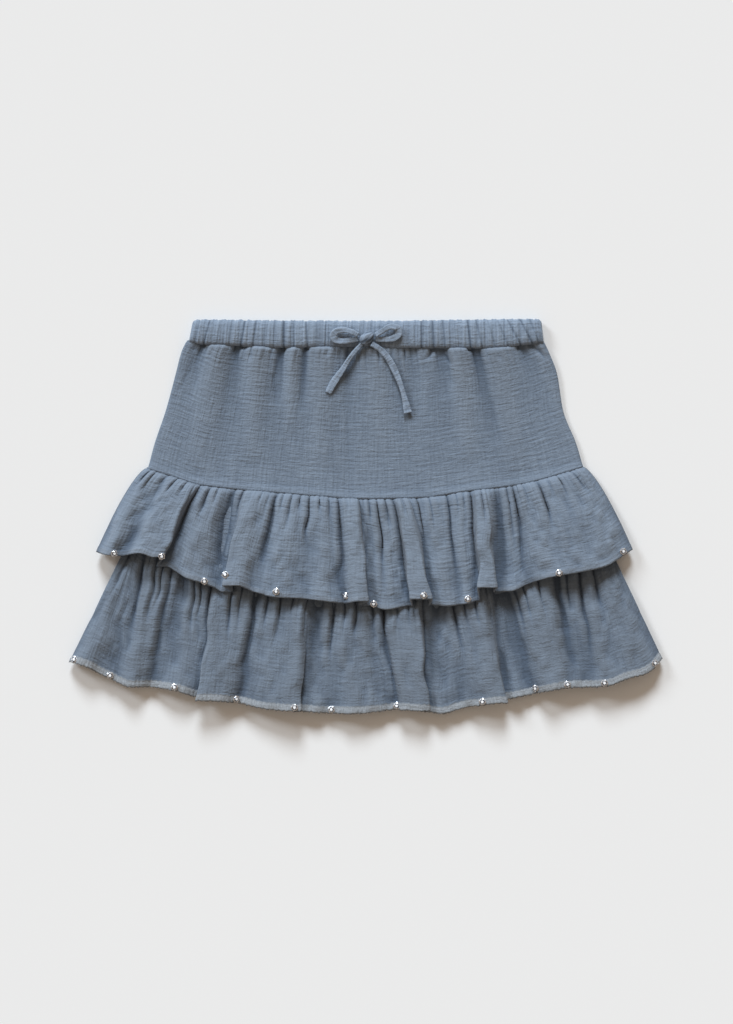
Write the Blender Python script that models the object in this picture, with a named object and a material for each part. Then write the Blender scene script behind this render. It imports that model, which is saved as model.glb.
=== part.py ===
# A child's ruffle skirt in crinkled double gauze, laid flat on its back with the front up.
# Tables are in millimetres: x is measured across from the centre line, drop is measured down
# the skirt from the top of the waist, and height is measured up from the surface it lies on.
# A sheet is a grid of points on the cloth's underside, with rows down and columns across.

import math

import bpy
import numpy as np

MM = 0.001

# Driving dimensions
HALF_LENGTH = 158.4
WALL = 1.2
GAP = 0.3
BAND_THICK = 5.0
BAND_SPLIT = 4.4
BAND_WAVE = 0.45
BAND_COLUMNS = 73
PANEL_COLUMNS = 57
BACK_COLUMNS = 33
SIDE_REACH = 10.0
LAP_TURN = 4.4
LAP_SPREAD = 3.0
LAP_EDGE = 1.0
FOLD_SPACING = 4.6
FIRST_SEAM = 4.5
SECOND_SEAM = 5.0
BACK_BASE = 1.5
FRONT_BASE = 3.0
BASE_CLIMB = 2.0
BASE_INSET = 10.0
BASE_START = 1.2
FIRST_ARCH = 2.0
SECOND_ARCH = 3.0
TIE_WIDTH = 4.8
TIE_THICK = 1.8
PANEL_GATHER = 0.7
FIRST_GATHER = 1.1
SECOND_GATHER = 0.7
FIRST_FLARE = 0.72
SECOND_FLARE = 1.0
FIRST_SWELL = 0.45
SECOND_SWELL = 0.8

# Height of the side folds of the ruffles at the seam and at the hem
FIRST_SIDES = (2.85, 6.0)
SECOND_SIDES = (4.85, 4.5)

CLOTH = (0.162, 0.205, 0.266, 1.0)

# Waistband: x of the top edge, x of the lower edge, top drop, drop of the seam under it
BAND_EDGE = (
    (-139.0, -141.8, 0.9, 18.2),
    (-130.0, -132.0, 0.7, 20.8),
    (-101.0, -102.4, 1.0, 22.0),
    (-66.0, -66.4, 1.4, 23.6),
    (-12.8, -12.8, 1.7, 22.8),
    (24.0, 24.0, 1.7, 23.8),
    (57.0, 57.6, 1.2, 23.8),
    (96.0, 96.8, 0.6, 24.2),
    (123.0, 124.0, 0.3, 21.6),
    (140.6, 142.4, 0.4, 19.4),
)

# Cross-section of the waistband: share of its depth down, share of its thickness up
FRONT_BAND_SECTION = ((0.97, 0.0), (1.0, 0.3), (0.95, 0.66), (0.78, 0.92), (0.5, 1.0),
                      (0.22, 0.92), (0.05, 0.64), (0.0, 0.3), (0.03, 0.0))
BACK_BAND_SECTION = ((0.06, 0.3), (0.18, 0.0), (0.82, 0.0), (0.94, 0.3), (1.0, 0.7), (0.97, 1.0),
                     (0.03, 1.0), (0.0, 0.7))

# Upper panel: share of the way down, left side x, right side x, height of the front,
# height of the side fold
PANEL_SECTION = (
    (0.0, -142.8, 142.4, 5.0, 4.55),
    (0.08, -147.2, 146.4, 4.4, 3.5),
    (0.24, -152.0, 152.8, 3.6, 2.5),
    (0.52, -160.0, 157.6, 3.0, 1.9),
    (0.8, -169.4, 168.2, 3.3, 2.2),
    (1.0, -174.4, 173.6, 4.2, 2.85),
)

# Soft folds of the upper front: x at the waist, x at the seam, share of the way down where the
# fold starts, where it ends, height (a trough is negative), half width
PANEL_FOLDS = (
    (-130.0, -166.0, 0.0, 0.45, -1.2, 6.0),
    (-118.0, -140.0, 0.0, 0.90, 1.2, 11.0),
    (-103.5, -118.0, 0.0, 0.95, -1.1, 6.0),
    (-86.0, -93.0, 0.0, 0.80, 1.6, 9.0),
    (-66.4, -82.0, 0.0, 0.40, -1.4, 5.0),
    (-58.0, -64.0, 0.0, 0.60, 1.4, 7.0),
    (-50.4, -54.0, 0.0, 0.45, -1.0, 5.0),
    (-34.0, -38.0, 0.0, 0.80, 1.5, 11.0),
    (-14.0, -13.0, 0.1, 1.00, -0.6, 5.0),
    (8.0, 11.0, 0.0, 0.70, 1.2, 12.0),
    (37.0, 41.0, 0.0, 0.50, -0.8, 6.0),
    (60.0, 68.0, 0.0, 0.35, -1.4, 6.0),
    (74.0, 85.0, 0.0, 0.80, 1.6, 9.0),
    (88.0, 112.0, 0.0, 0.70, -1.3, 5.0),
    (104.0, 124.0, 0.0, 0.90, 1.4, 11.0),
    (126.0, 166.0, 0.0, 0.60, -1.2, 6.0),
)

# Seam of the first ruffle: x, drop
FIRST_SEAM_LINE = (
    (-175.6, 120.0), (-160.0, 124.6), (-132.8, 133.2), (-100.8, 136.8), (-52.0, 141.0),
    (0.0, 144.4), (43.2, 143.4), (80.0, 138.4), (115.2, 134.0), (136.0, 130.0), (173.6, 118.8),
)

# Seam of the second ruffle, under the first: x, drop
SECOND_SEAM_LINE = ((-190.4, 179.6), (-120.0, 194.6), (0.0, 203.6), (120.0, 194.6), (193.6, 179.6))

# Folds of the ruffles, from left to right: x at the seam, x at the hem, drop of the hem, height
# at the hem, lap. A lap above 0 is how far the fold before it lies over this valley, and one
# below 0 is how far the fold after it does.
FIRST_FOLDS = (
    (-175.6, -215.2, 186.8, 9.0, 0),
    (-167.2, -206.4, 189.2, 14.6, 0),
    (-157.6, -195.2, 190.0, 11.5, 0),
    (-147.6, -180.8, 187.6, 19.5, 0),
    (-140.8, -168.4, 190.8, 20.5, 0),
    (-133.6, -160.4, 198.4, 10.4, 7),
    (-121.6, -143.2, 207.6, 13.5, 0),
    (-115.2, -130.6, 212.0, 13.0, 0),
    (-109.6, -121.6, 215.6, 10.6, 0),
    (-96.8, -113.6, 218.8, 11.0, -7),
    (-84.8, -102.4, 213.6, 19.5, 0),
    (-74.4, -92.0, 218.0, 15.0, 0),
    (-58.0, -70.0, 223.0, 16.5, 0),
    (-44.8, -50.4, 224.0, 14.0, 0),
    (-34.0, -35.0, 225.8, 16.0, 0),
    (-22.4, -18.4, 228.0, 11.5, 0),
    (-13.6, -7.0, 226.0, 19.5, 0),
    (-5.2, 2.0, 229.6, 10.6, 7),
    (9.0, 17.0, 232.8, 12.5, 0),
    (22.4, 35.6, 230.0, 10.2, -2),
    (28.8, 43.2, 224.4, 19.5, 0),
    (35.2, 50.8, 229.2, 10.8, 2),
    (50.0, 64.0, 230.0, 14.0, 0),
    (64.8, 75.2, 228.8, 11.0, 0),
    (73.0, 82.0, 228.0, 14.5, 0),
    (84.8, 90.8, 226.0, 10.5, -2),
    (90.8, 97.2, 215.2, 21.0, 0),
    (97.0, 103.0, 218.8, 11.0, 2),
    (107.2, 116.0, 218.0, 13.0, 0),
    (116.8, 127.2, 213.2, 10.8, 0),
    (129.0, 148.0, 206.4, 17.5, 0),
    (145.6, 171.2, 202.8, 18.5, 0),
    (160.0, 192.0, 197.6, 16.0, 0),
    (173.6, 212.8, 184.8, 9.0, 0),
)
SECOND_FOLDS = (
    (-190.4, -236.8, 274.8, 7.0, 0),
    (-185.6, -225.6, 278.0, 11.5, 0),
    (-181.6, -204.0, 289.2, 7.0, 0),
    (-171.2, -188.8, 295.0, 12.5, 0),
    (-152.0, -172.8, 295.2, 6.2, 0),
    (-139.2, -152.0, 298.0, 12.0, 0),
    (-121.6, -135.2, 302.8, 6.4, -6),
    (-113.6, -126.4, 305.8, 14.5, 0),
    (-99.2, -113.6, 306.8, 13.0, 0),
    (-83.2, -100.8, 308.0, 6.2, 0),
    (-68.8, -83.2, 312.0, 12.0, 0),
    (-54.4, -60.8, 314.0, 15.0, 0),
    (-44.0, -52.0, 314.8, 6.6, 6),
    (-35.2, -40.0, 315.4, 9.0, 0),
    (-25.6, -30.4, 316.0, 7.0, 0),
    (-11.2, -11.2, 316.4, 11.0, 0),
    (6.4, 25.6, 313.2, 6.2, 0),
    (17.6, 32.0, 313.4, 13.0, 0),
    (30.4, 41.6, 314.0, 14.5, 0),
    (43.2, 49.6, 315.2, 6.2, 4),
    (52.8, 60.8, 316.4, 10.0, 0),
    (64.0, 80.0, 311.6, 7.5, 0),
    (76.8, 94.4, 309.2, 12.0, 0),
    (88.0, 104.8, 307.8, 14.0, 0),
    (94.4, 112.0, 304.8, 6.6, 2),
    (100.4, 123.2, 302.8, 9.5, 0),
    (106.6, 135.2, 300.4, 6.2, 0),
    (127.2, 148.8, 297.6, 14.5, 0),
    (139.2, 160.0, 295.8, 12.0, 0),
    (164.8, 180.8, 295.2, 8.5, 0),
    (174.4, 192.0, 294.4, 12.0, 0),
    (184.0, 212.8, 287.2, 12.5, 0),
    (189.6, 225.6, 283.3, 10.0, 0),
    (193.6, 236.8, 272.4, 7.0, 0),
)

# Hems of the back ruffles, hidden under the front ones: x, drop
FIRST_BACK_HEM = (
    (-215.2, 186.8), (-180.0, 188.0), (-150.0, 198.0), (-113.0, 208.0), (-60.0, 219.0),
    (0.0, 225.0), (50.0, 224.5), (90.0, 216.0), (125.0, 207.0), (160.0, 199.0), (190.0, 193.0),
    (212.8, 184.8),
)
SECOND_BACK_HEM = (
    (-236.8, 274.8), (-200.0, 285.0), (-150.0, 291.5), (-100.0, 302.0), (-50.0, 309.0),
    (0.0, 309.5), (50.0, 310.0), (100.0, 301.0), (150.0, 292.0), (200.0, 284.0), (236.8, 272.4),
)

# Rows of a ruffle: share of the way from seam to hem, how much it is gathered there, and how
# far the laps have closed
RUFFLE_ROWS = ((0.0, 0.3, 0.0), (0.1, 1.0, 0.0), (0.3, 0.5, 0.0), (0.62, 0.1, 0.1), (1.0, 0.0, 1.0))

# Tie: routes of the bow's loops and ends by x, drop and height
LEFT_LOOP = ((-6.5, 13.6, 13.5), (-11.2, 11.0, 14.2), (-17.6, 9.4, 13.9), (-23.2, 10.4, 13.1),
             (-26.2, 14.0, 12.3), (-23.8, 17.6, 11.5), (-17.6, 18.4, 11.1), (-12.0, 17.6, 11.1),
             (-6.5, 16.6, 11.2))
RIGHT_LOOP = ((7.7, 13.6, 13.5), (13.6, 10.0, 14.2), (20.0, 6.8, 13.9), (24.8, 7.8, 13.1),
              (26.2, 11.6, 12.3), (23.6, 15.2, 11.5), (17.6, 16.8, 11.1), (12.6, 16.8, 11.1),
              (7.7, 16.6, 11.2))
LEFT_END = ((-3.2, 20.4, 11.4), (-10.4, 28.2, 9.6), (-19.0, 41.2, 8.0), (-26.2, 51.6, 7.4),
            (-30.4, 59.6, 7.0))
RIGHT_END = ((4.4, 20.4, 11.4), (11.2, 24.8, 10.2), (17.6, 31.6, 8.8), (23.2, 42.0, 7.8),
             (28.0, 54.0, 7.2), (31.2, 65.2, 6.8), (33.6, 75.6, 6.6))
KNOT_MIDDLE = (0.6, 15.4, 12.7)
KNOT_HALF = (6.8, 4.6, 2.9)


# Smooth curve through rows whose first column is their place: the other columns at each spot.
# It never overshoots, so a crest or a valley stays as high or as low as its row says.
def smooth(rows, spots):
    rows = np.asarray(rows, dtype=float)
    spots = np.atleast_1d(np.asarray(spots, dtype=float))
    place, value = rows[:, 0], rows[:, 1:]
    steep = np.diff(value, axis=0) / np.diff(place)[:, None]
    before, after = steep[:-1], steep[1:]
    same = before * after > 0
    middle = np.where(same, 2 * before * after / np.where(same, before + after, 1), 0)
    slope = np.vstack([steep[:1], middle, steep[-1:]])
    index = np.clip(np.searchsorted(place, spots, side="right") - 1, 0, len(place) - 2)
    run = (place[index + 1] - place[index])[:, None]
    part = ((spots - place[index])[:, None] / run)
    squared, cubed = part ** 2, part ** 3
    return ((2 * cubed - 3 * squared + 1) * value[index]
            + (cubed - 2 * squared + part) * run * slope[index]
            + (3 * squared - 2 * cubed) * value[index + 1]
            + (cubed - squared) * run * slope[index + 1])


def line(table, x):
    return smooth(table, x)[:, 0]


# 1 on every other column, 0 on the rest: the finest gathers
def gathers(count):
    return np.arange(count) % 2


# Rounds a sheet's sides toward the height at which front and back meet
def close_sides(sheet, side_height, reach=SIDE_REACH):
    x = sheet[:, :, 0]
    inside = np.minimum(x - x[:, :1], x[:, -1:] - x)
    near = np.clip(inside / reach, 0, 1)
    keep = np.sqrt(1 - (1 - near) ** 2)
    side = np.asarray(side_height, dtype=float)[:, None]
    sheet[:, :, 2] = side + (sheet[:, :, 2] - side) * keep
    return sheet


# Stations of a ruffle's section: rows of x at the seam, x at the hem with the laps still open,
# drop of the hem, height, and how far a closed lap moves the hem across
def stations(folds):
    points = []
    for number, (seam_x, hem_x, hem_drop, height, lap) in enumerate(folds):
        if lap == 0:
            points.append((seam_x, hem_x, hem_drop, height, 0.0))
            continue
        way = 1 if lap > 0 else -1
        over = folds[number - way]
        middle_drop = (over[2] + hem_drop) / 2
        turned = (
            (-2, 0.0, over[2], over[3] - LAP_EDGE),
            (-1, -lap / 2, middle_drop, height + LAP_TURN),
            (0, -lap, hem_drop, height + LAP_TURN / 2),
            (1, -lap / 2, hem_drop, height),
            (2, way, hem_drop, height),
        )
        steps = [(seam_x + way * step * LAP_SPREAD / 2, hem_x + way * step, drop, up, across - way * step)
                 for step, across, drop, up in turned]
        points.extend(steps[::way])
    return np.array(points)


# Columns of a ruffle, evenly spaced along its folds at the hem
def fold_columns(folds, spacing):
    points = stations(folds)
    closed_x = points[:, 1] + points[:, 4]
    steps = np.hypot(np.diff(closed_x), np.diff(points[:, 3]))
    place = np.concatenate([[0], np.cumsum(steps)])
    spots = [place[0]]
    for start, step in zip(place, steps):
        parts = max(1, round(step / spacing))
        spots.extend(start + step * (np.arange(parts) + 1) / parts)
    return smooth(np.column_stack([place, points]), spots).T


# Front ruffle: folds that open from flat at the seam, with fine gathers under it
def front_ruffle(folds, seam, seam_height, flare, swell, gather, sides):
    seam_x, hem_x, hem_drop, height, lapped = fold_columns(folds, FOLD_SPACING)
    seam_drop = line(seam, seam_x) + GAP / 2
    rows = []
    for down, gathered, closed in RUFFLE_ROWS:
        x = seam_x + (hem_x - seam_x) * down ** flare + lapped * closed
        drop = seam_drop + (hem_drop - seam_drop) * down
        up = seam_height + (height - seam_height) * down ** swell
        rows.append(np.column_stack([x, drop, up + gather * gathered * gathers(len(x))]))
    return close_sides(np.array(rows), sides)


# Low arches of a back ruffle, which lies on the surface between them
def arches(share, count, height):
    swing = np.sin(2 * math.pi * (count * share + 0.35 * np.sin(2 * math.pi * 3 * share)))
    uneven = 0.75 + 0.25 * np.cos(2 * math.pi * 5 * share)
    return height * uneven * np.clip(swing, 0, 1)


def normals(sheet):
    down = np.gradient(sheet, axis=0)
    across = np.gradient(sheet, axis=1)
    face = np.cross(across, down)
    return face / np.linalg.norm(face, axis=2, keepdims=True)


# World points in metres from rows of x, drop and height
def world(points):
    points = np.asarray(points, dtype=float)
    return np.stack([points[..., 0], HALF_LENGTH - points[..., 1], points[..., 2]], axis=-1) * MM


def material(name, colour):
    made = bpy.data.materials.new(name)
    made.use_nodes = True
    shader = made.node_tree.nodes["Principled BSDF"]
    shader.inputs["Base Color"].default_value = colour
    shader.inputs["Roughness"].default_value = 0.9
    shader.inputs["Metallic"].default_value = 0.0
    return made


def add_object(name, data):
    piece = bpy.data.objects.new(name, data)
    bpy.context.scene.collection.objects.link(piece)
    data.materials.append(material(name, CLOTH))
    return piece


def mesh_object(name, vertices, faces):
    data = bpy.data.meshes.new(name)
    data.from_pydata([tuple(v) for v in vertices], [], faces)
    data.validate()
    data.shade_smooth()
    data.set_sharp_from_angle(angle=math.radians(60))
    return add_object(name, data)


# Wall of cloth on a sheet of underside points, with its seam and hem edges cut upright
def shell(name, sheet):
    rows, columns = sheet.shape[:2]
    face = normals(sheet)
    face[[0, -1], :, 1] = 0
    face[:, [0, -1], 0] = 0
    face /= np.linalg.norm(face, axis=2, keepdims=True)
    upper = sheet + face * WALL
    vertices = np.concatenate([world(sheet).reshape(-1, 3), world(upper).reshape(-1, 3)])
    top = rows * columns
    faces = []
    for row in range(rows - 1):
        for column in range(columns - 1):
            a = row * columns + column
            b, c, d = a + 1, a + columns + 1, a + columns
            faces += [(a, c, d), (a, b, c), (a + top, d + top, c + top), (a + top, c + top, b + top)]
    for a in range(columns - 1):
        b = a + 1
        faces.append((a, a + top, b + top, b))
        low = a + (rows - 1) * columns
        faces.append((low, low + 1, low + 1 + top, low + top))
    for row in range(rows - 1):
        left = row * columns
        faces.append((left, left + columns, left + columns + top, left + top))
        right = left + columns - 1
        faces.append((right, right + top, right + columns + top, right + columns))
    return mesh_object(name, vertices, faces)


# Solid through closed rings of points, with flat ends
def loft(name, rings):
    count = len(rings[0])
    faces = [tuple(range(count)), tuple(range((len(rings) - 1) * count, len(rings) * count))[::-1]]
    for ring in range(len(rings) - 1):
        for corner in range(count):
            a = ring * count + corner
            b = ring * count + (corner + 1) % count
            faces += [(a, a + count, b + count), (a, b + count, b)]
    return mesh_object(name, world(rings).reshape(-1, 3), faces)


# Gathered casing, rounded off at the two ends
def waistband(name, section, bottom, turned):
    table = np.column_stack([np.linspace(0, 1, len(BAND_EDGE)), BAND_EDGE])
    width = np.ptp(table[:, 1])
    table[:, 0] = (table[:, 1] - table[0, 1]) / width
    share = np.linspace(0, 1, BAND_COLUMNS)
    rings = []
    for number, (top_x, low_x, top, low) in enumerate(smooth(table, share)):
        inside = min(share[number], 1 - share[number]) * width
        round_off = math.sqrt(1 - (1 - min(inside / BAND_THICK, 1)) ** 2)
        thick = BAND_THICK * (0.3 + 0.7 * round_off)
        wave = BAND_WAVE * (1 if number % 2 else -1) * round_off
        low -= GAP / 2
        ring = []
        for down, up in section:
            lift = thick * up + (wave * up if not turned else 0)
            across = top_x + (low_x - top_x) * down
            shift = wave * (0.5 - down) * (1 if turned else 0.6)
            height = bottom + lift if not turned else bottom - thick + lift
            ring.append((across, top + (low - top) * down + shift, height))
        rings.append(ring)
    return loft(name, rings)


# Sides and heights of the upper panel at the given shares of the way down
def panel_grid(downs, columns):
    share = np.linspace(0, 1, columns)
    rows = []
    for down, (left, right, front, side) in zip(downs, smooth(PANEL_SECTION, downs)):
        x = left + (right - left) * share
        waist = line(np.asarray(BAND_EDGE)[:, [1, 3]], np.clip(x, -142.0, 142.4))
        seam = line(FIRST_SEAM_LINE, x)
        drop = (waist + GAP / 2) * (1 - down) + (seam - GAP / 2) * down
        rows.append(np.column_stack([x, drop, np.full(columns, front)]))
    return np.array(rows), smooth(PANEL_SECTION, downs)[:, 3]


def upper_front():
    downs = (0.0, 0.06, 0.18, 0.36, 0.58, 0.8, 1.0)
    sheet, side = panel_grid(downs, PANEL_COLUMNS)
    for number, down in enumerate(downs):
        x = sheet[number, :, 0]
        for waist_x, seam_x, start, end, height, half in PANEL_FOLDS:
            if not start <= down <= end:
                continue
            along = (down - start) / (end - start)
            away = (x - waist_x - (seam_x - waist_x) * down) / half
            sheet[number, :, 2] += height * (1 - along) * np.exp(-away ** 2)
        sheet[number, :, 2] += PANEL_GATHER * max(0, 1 - down / 0.3) * gathers(PANEL_COLUMNS)
    return shell("upper_front", close_sides(sheet, side + GAP / 2))


def upper_back():
    sheet, side = panel_grid((0.0, 0.1, 0.5, 0.85, 1.0), BACK_COLUMNS)
    sheet[:, :, 2] = 0
    sheet[1, :, 2] = 0.5 * gathers(BACK_COLUMNS)
    return shell("upper_back", close_sides(sheet, side - GAP / 2 - WALL))


# Plain panel under the first ruffle, from its seam to the seam of the second
def base_panel(name, start):
    rows = []
    share = np.linspace(0, 1, 13)
    for down in (0.0, 0.09, 0.26, 1.0):
        left = FIRST_SEAM_LINE[0][0] + BASE_INSET
        right = FIRST_SEAM_LINE[-1][0] - BASE_INSET
        left += (SECOND_SEAM_LINE[0][0] - left) * down
        right += (SECOND_SEAM_LINE[-1][0] - right) * down
        x = left + (right - left) * share
        drop = (line(FIRST_SEAM_LINE, x) + BASE_START) * (1 - down)
        drop += (line(SECOND_SEAM_LINE, x) - GAP / 2) * down
        climb = BASE_CLIMB * min(1, down / 0.26) ** 0.8
        rows.append(np.column_stack([x, drop, np.full(len(x), start + climb)]))
    return shell(name, np.array(rows))


def first_back():
    share = np.linspace(0, 1, 61)
    seam_x = FIRST_SEAM_LINE[0][0] + (FIRST_SEAM_LINE[-1][0] - FIRST_SEAM_LINE[0][0]) * share
    hem_x = FIRST_BACK_HEM[0][0] + (FIRST_BACK_HEM[-1][0] - FIRST_BACK_HEM[0][0]) * share
    seam_drop = line(FIRST_SEAM_LINE, seam_x) + GAP / 2
    hem_drop = line(FIRST_BACK_HEM, hem_x)
    rows = []
    for down, gathered in ((0.0, 0.0), (0.12, 0.5), (0.5, 0.0), (1.0, 0.0)):
        x = seam_x + (hem_x - seam_x) * down ** FIRST_FLARE
        drop = seam_drop + (hem_drop - seam_drop) * down
        up = arches(share, 15, FIRST_ARCH) * down + gathered * gathers(len(share))
        rows.append(np.column_stack([x, drop, up]))
    sides = np.interp([0.0, 0.12, 0.5, 1.0], [0, 1], FIRST_SIDES) - GAP / 2 - WALL
    return shell("tier1_back", close_sides(np.array(rows), sides, 12.0))


# The second ruffle's back steps down past the first one's hem onto the surface
def second_back():
    share = np.linspace(0, 1, 65)
    seam_x = SECOND_SEAM_LINE[0][0] + (SECOND_SEAM_LINE[-1][0] - SECOND_SEAM_LINE[0][0]) * share
    hem_x = SECOND_BACK_HEM[0][0] + (SECOND_BACK_HEM[-1][0] - SECOND_BACK_HEM[0][0]) * share
    seam_drop = line(SECOND_SEAM_LINE, seam_x) + GAP / 2
    hem_drop = line(SECOND_BACK_HEM, hem_x)
    past_first = line(FIRST_BACK_HEM, np.clip(seam_x * 1.08, -215.2, 212.8))
    floor = arches(share, 16, SECOND_ARCH)
    rows = []
    drops = (seam_drop, past_first + 2.5, past_first + 18, (past_first + 18 + hem_drop) / 2, hem_drop)
    heights = (BACK_BASE + BASE_CLIMB, BACK_BASE + BASE_CLIMB, 0, floor * 0.6, floor)
    for drop, height in zip(drops, heights):
        down = (drop - seam_drop) / (hem_drop - seam_drop)
        x = seam_x + (hem_x - seam_x) * down
        rows.append(np.column_stack([x, drop, np.zeros(len(x)) + height]))
    sides = np.array([4.85, 4.8, 4.7, 4.6, 4.5]) - GAP / 2 - WALL
    return shell("tier2_back", close_sides(np.array(rows), sides, 12.0))


# Flat tie along a route, as a rounded strip that lies on its wide side
def tie(name, route):
    route = np.array(route)
    steps = np.linalg.norm(np.diff(route, axis=0), axis=1)
    place = np.concatenate([[0], np.cumsum(steps)])
    points = smooth(np.column_stack([place, route]), np.linspace(0, place[-1], round(place[-1] / 3.6)))
    data = bpy.data.curves.new(name, "CURVE")
    data.dimensions = "3D"
    data.twist_mode = "Z_UP"
    data.fill_mode = "FULL"
    data.bevel_depth = TIE_THICK / 2 * MM
    data.extrude = (TIE_WIDTH - TIE_THICK) / 2 * MM
    data.bevel_resolution = 2
    data.use_fill_caps = True
    spline = data.splines.new("POLY")
    spline.points.add(len(points) - 1)
    for point, place in zip(spline.points, world(points)):
        point.co = (*place, 1)
        point.tilt = math.pi / 2
    return add_object(name, data)


def knot():
    rings = []
    for around in np.linspace(-1, 1, 9)[1:-1] * math.pi / 2:
        ring = []
        for turn in np.arange(14) * 2 * math.pi / 14:
            ring.append((KNOT_MIDDLE[0] + KNOT_HALF[0] * math.sin(around),
                         KNOT_MIDDLE[1] + KNOT_HALF[1] * math.cos(around) * math.cos(turn),
                         KNOT_MIDDLE[2] + KNOT_HALF[2] * math.cos(around) * math.sin(turn)))
        rings.append(ring)
    return loft("bow_knot", rings)


def build():
    for old in list(bpy.data.objects):
        bpy.data.objects.remove(old, do_unlink=True)
    waistband("waistband_front", FRONT_BAND_SECTION, BAND_SPLIT + GAP, False)
    waistband("waistband_back", BACK_BAND_SECTION, BAND_SPLIT, True)
    upper_front()
    upper_back()
    base_panel("base_front", FRONT_BASE)
    base_panel("base_back", BACK_BASE)
    downs = np.array([row[0] for row in RUFFLE_ROWS])
    sides = np.interp(downs, [0, 1], FIRST_SIDES) + GAP / 2
    shell("tier1_front", front_ruffle(FIRST_FOLDS, FIRST_SEAM_LINE, FIRST_SEAM, FIRST_FLARE, FIRST_SWELL,
                                      FIRST_GATHER, sides))
    sides = np.interp(downs, [0, 1], SECOND_SIDES) + GAP / 2
    shell("tier2_front", front_ruffle(SECOND_FOLDS, SECOND_SEAM_LINE, SECOND_SEAM, SECOND_FLARE, SECOND_SWELL,
                                      SECOND_GATHER, sides))
    first_back()
    second_back()
    knot()
    tie("loop_left", LEFT_LOOP)
    tie("loop_right", RIGHT_LOOP)
    tie("tail_left", LEFT_END)
    tie("tail_right", RIGHT_END)


build()
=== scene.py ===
import math
from functools import partialmethod

import bpy
import numpy as np
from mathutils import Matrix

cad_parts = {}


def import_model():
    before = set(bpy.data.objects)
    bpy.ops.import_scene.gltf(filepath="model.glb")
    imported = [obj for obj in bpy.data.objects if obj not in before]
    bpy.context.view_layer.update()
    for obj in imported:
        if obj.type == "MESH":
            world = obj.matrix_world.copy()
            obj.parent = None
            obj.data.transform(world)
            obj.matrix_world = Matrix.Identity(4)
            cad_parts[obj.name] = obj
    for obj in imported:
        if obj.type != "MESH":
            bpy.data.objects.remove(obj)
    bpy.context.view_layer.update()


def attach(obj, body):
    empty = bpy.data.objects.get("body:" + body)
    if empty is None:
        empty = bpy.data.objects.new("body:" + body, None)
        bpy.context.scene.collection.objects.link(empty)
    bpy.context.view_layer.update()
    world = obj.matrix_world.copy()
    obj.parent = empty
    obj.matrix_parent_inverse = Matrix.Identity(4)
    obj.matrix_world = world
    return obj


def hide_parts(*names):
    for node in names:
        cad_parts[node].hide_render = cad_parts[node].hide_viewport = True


# A child's ruffle skirt in crinkled double gauze, laid flat on its back with the front up.
# Tables are in millimetres: x is measured across from the centre line, drop is measured down
# the skirt from the top of the waist, and height is measured up from the surface it lies on.
# A sheet is a grid of points on the cloth's underside, with rows down and columns across.

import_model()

mm = 0.001
halfLength = 158.4  # drop of the point that lies at y = 0
seamGap = 0.3  # between two solids that meet at a seam
bandSplit = 4.4  # height at which the waistband's halves meet
bandThick = 5.0  # of one half
lapTurn = 4.4  # how high a lap's turn stands over its valley
lapSpread = 3.0  # of a lap's stations along the seam
lapEdge = 1.0  # how far the lap's upper layer comes down at its edge
baseInset = 10.0  # of the hidden panels from the first ruffle's ends
baseStart = 1.2  # drop of their top edge below the first ruffle's seam
baseClimb = 2.0  # how far they climb over the first ruffle's back
backBase = 1.5  # height of the second ruffle's back where it starts
cuffs = (-141.8, 142.4)  # x of the waistband's ends at its lower edge

view = {
    "middle": (0.0004, 0.0036),  # what the centre of the picture looks at, in metres
    "distance": 2.4,
    "raised": 0.008,  # height of the plane on which the width is measured
    "width": 0.8192,  # metres across the picture's long side
    "sensor": 36.0,
}

# Waistband: x of the top edge, x of the lower edge, top drop, drop of the seam under it
bandEdge = (
    (-139, -141.8, 0.9, 18.2),
    (-130, -132, 0.7, 20.8),
    (-101, -102.4, 1, 22),
    (-66, -66.4, 1.4, 23.6),
    (-12.8, -12.8, 1.7, 22.8),
    (24, 24, 1.7, 23.8),
    (57, 57.6, 1.2, 23.8),
    (96, 96.8, 0.6, 24.2),
    (123, 124, 0.3, 21.6),
    (140.6, 142.4, 0.4, 19.4),
)

# Cross-section of the waistband: share of its depth down, share of its thickness up
frontBandSection = (
    (0.97, 0), (1, 0.3), (0.95, 0.66), (0.78, 0.92), (0.5, 1), (0.22, 0.92), (0.05, 0.64), (0, 0.3),
    (0.03, 0),
)
backBandSection = (
    (0.06, 0.3), (0.18, 0), (0.82, 0), (0.94, 0.3), (1, 0.7), (0.97, 1), (0.03, 1), (0, 0.7),
)

# Upper panel: share of the way down, left side x, right side x, height of the front,
# height of the side fold
panelSection = (
    (0, -142.8, 142.4, 5, 4.55),
    (0.08, -147.2, 146.4, 4.4, 3.5),
    (0.24, -152, 152.8, 3.6, 2.5),
    (0.52, -160, 157.6, 3, 1.9),
    (0.8, -169.4, 168.2, 3.3, 2.2),
    (1, -174.4, 173.6, 4.2, 2.85),
)

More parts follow.
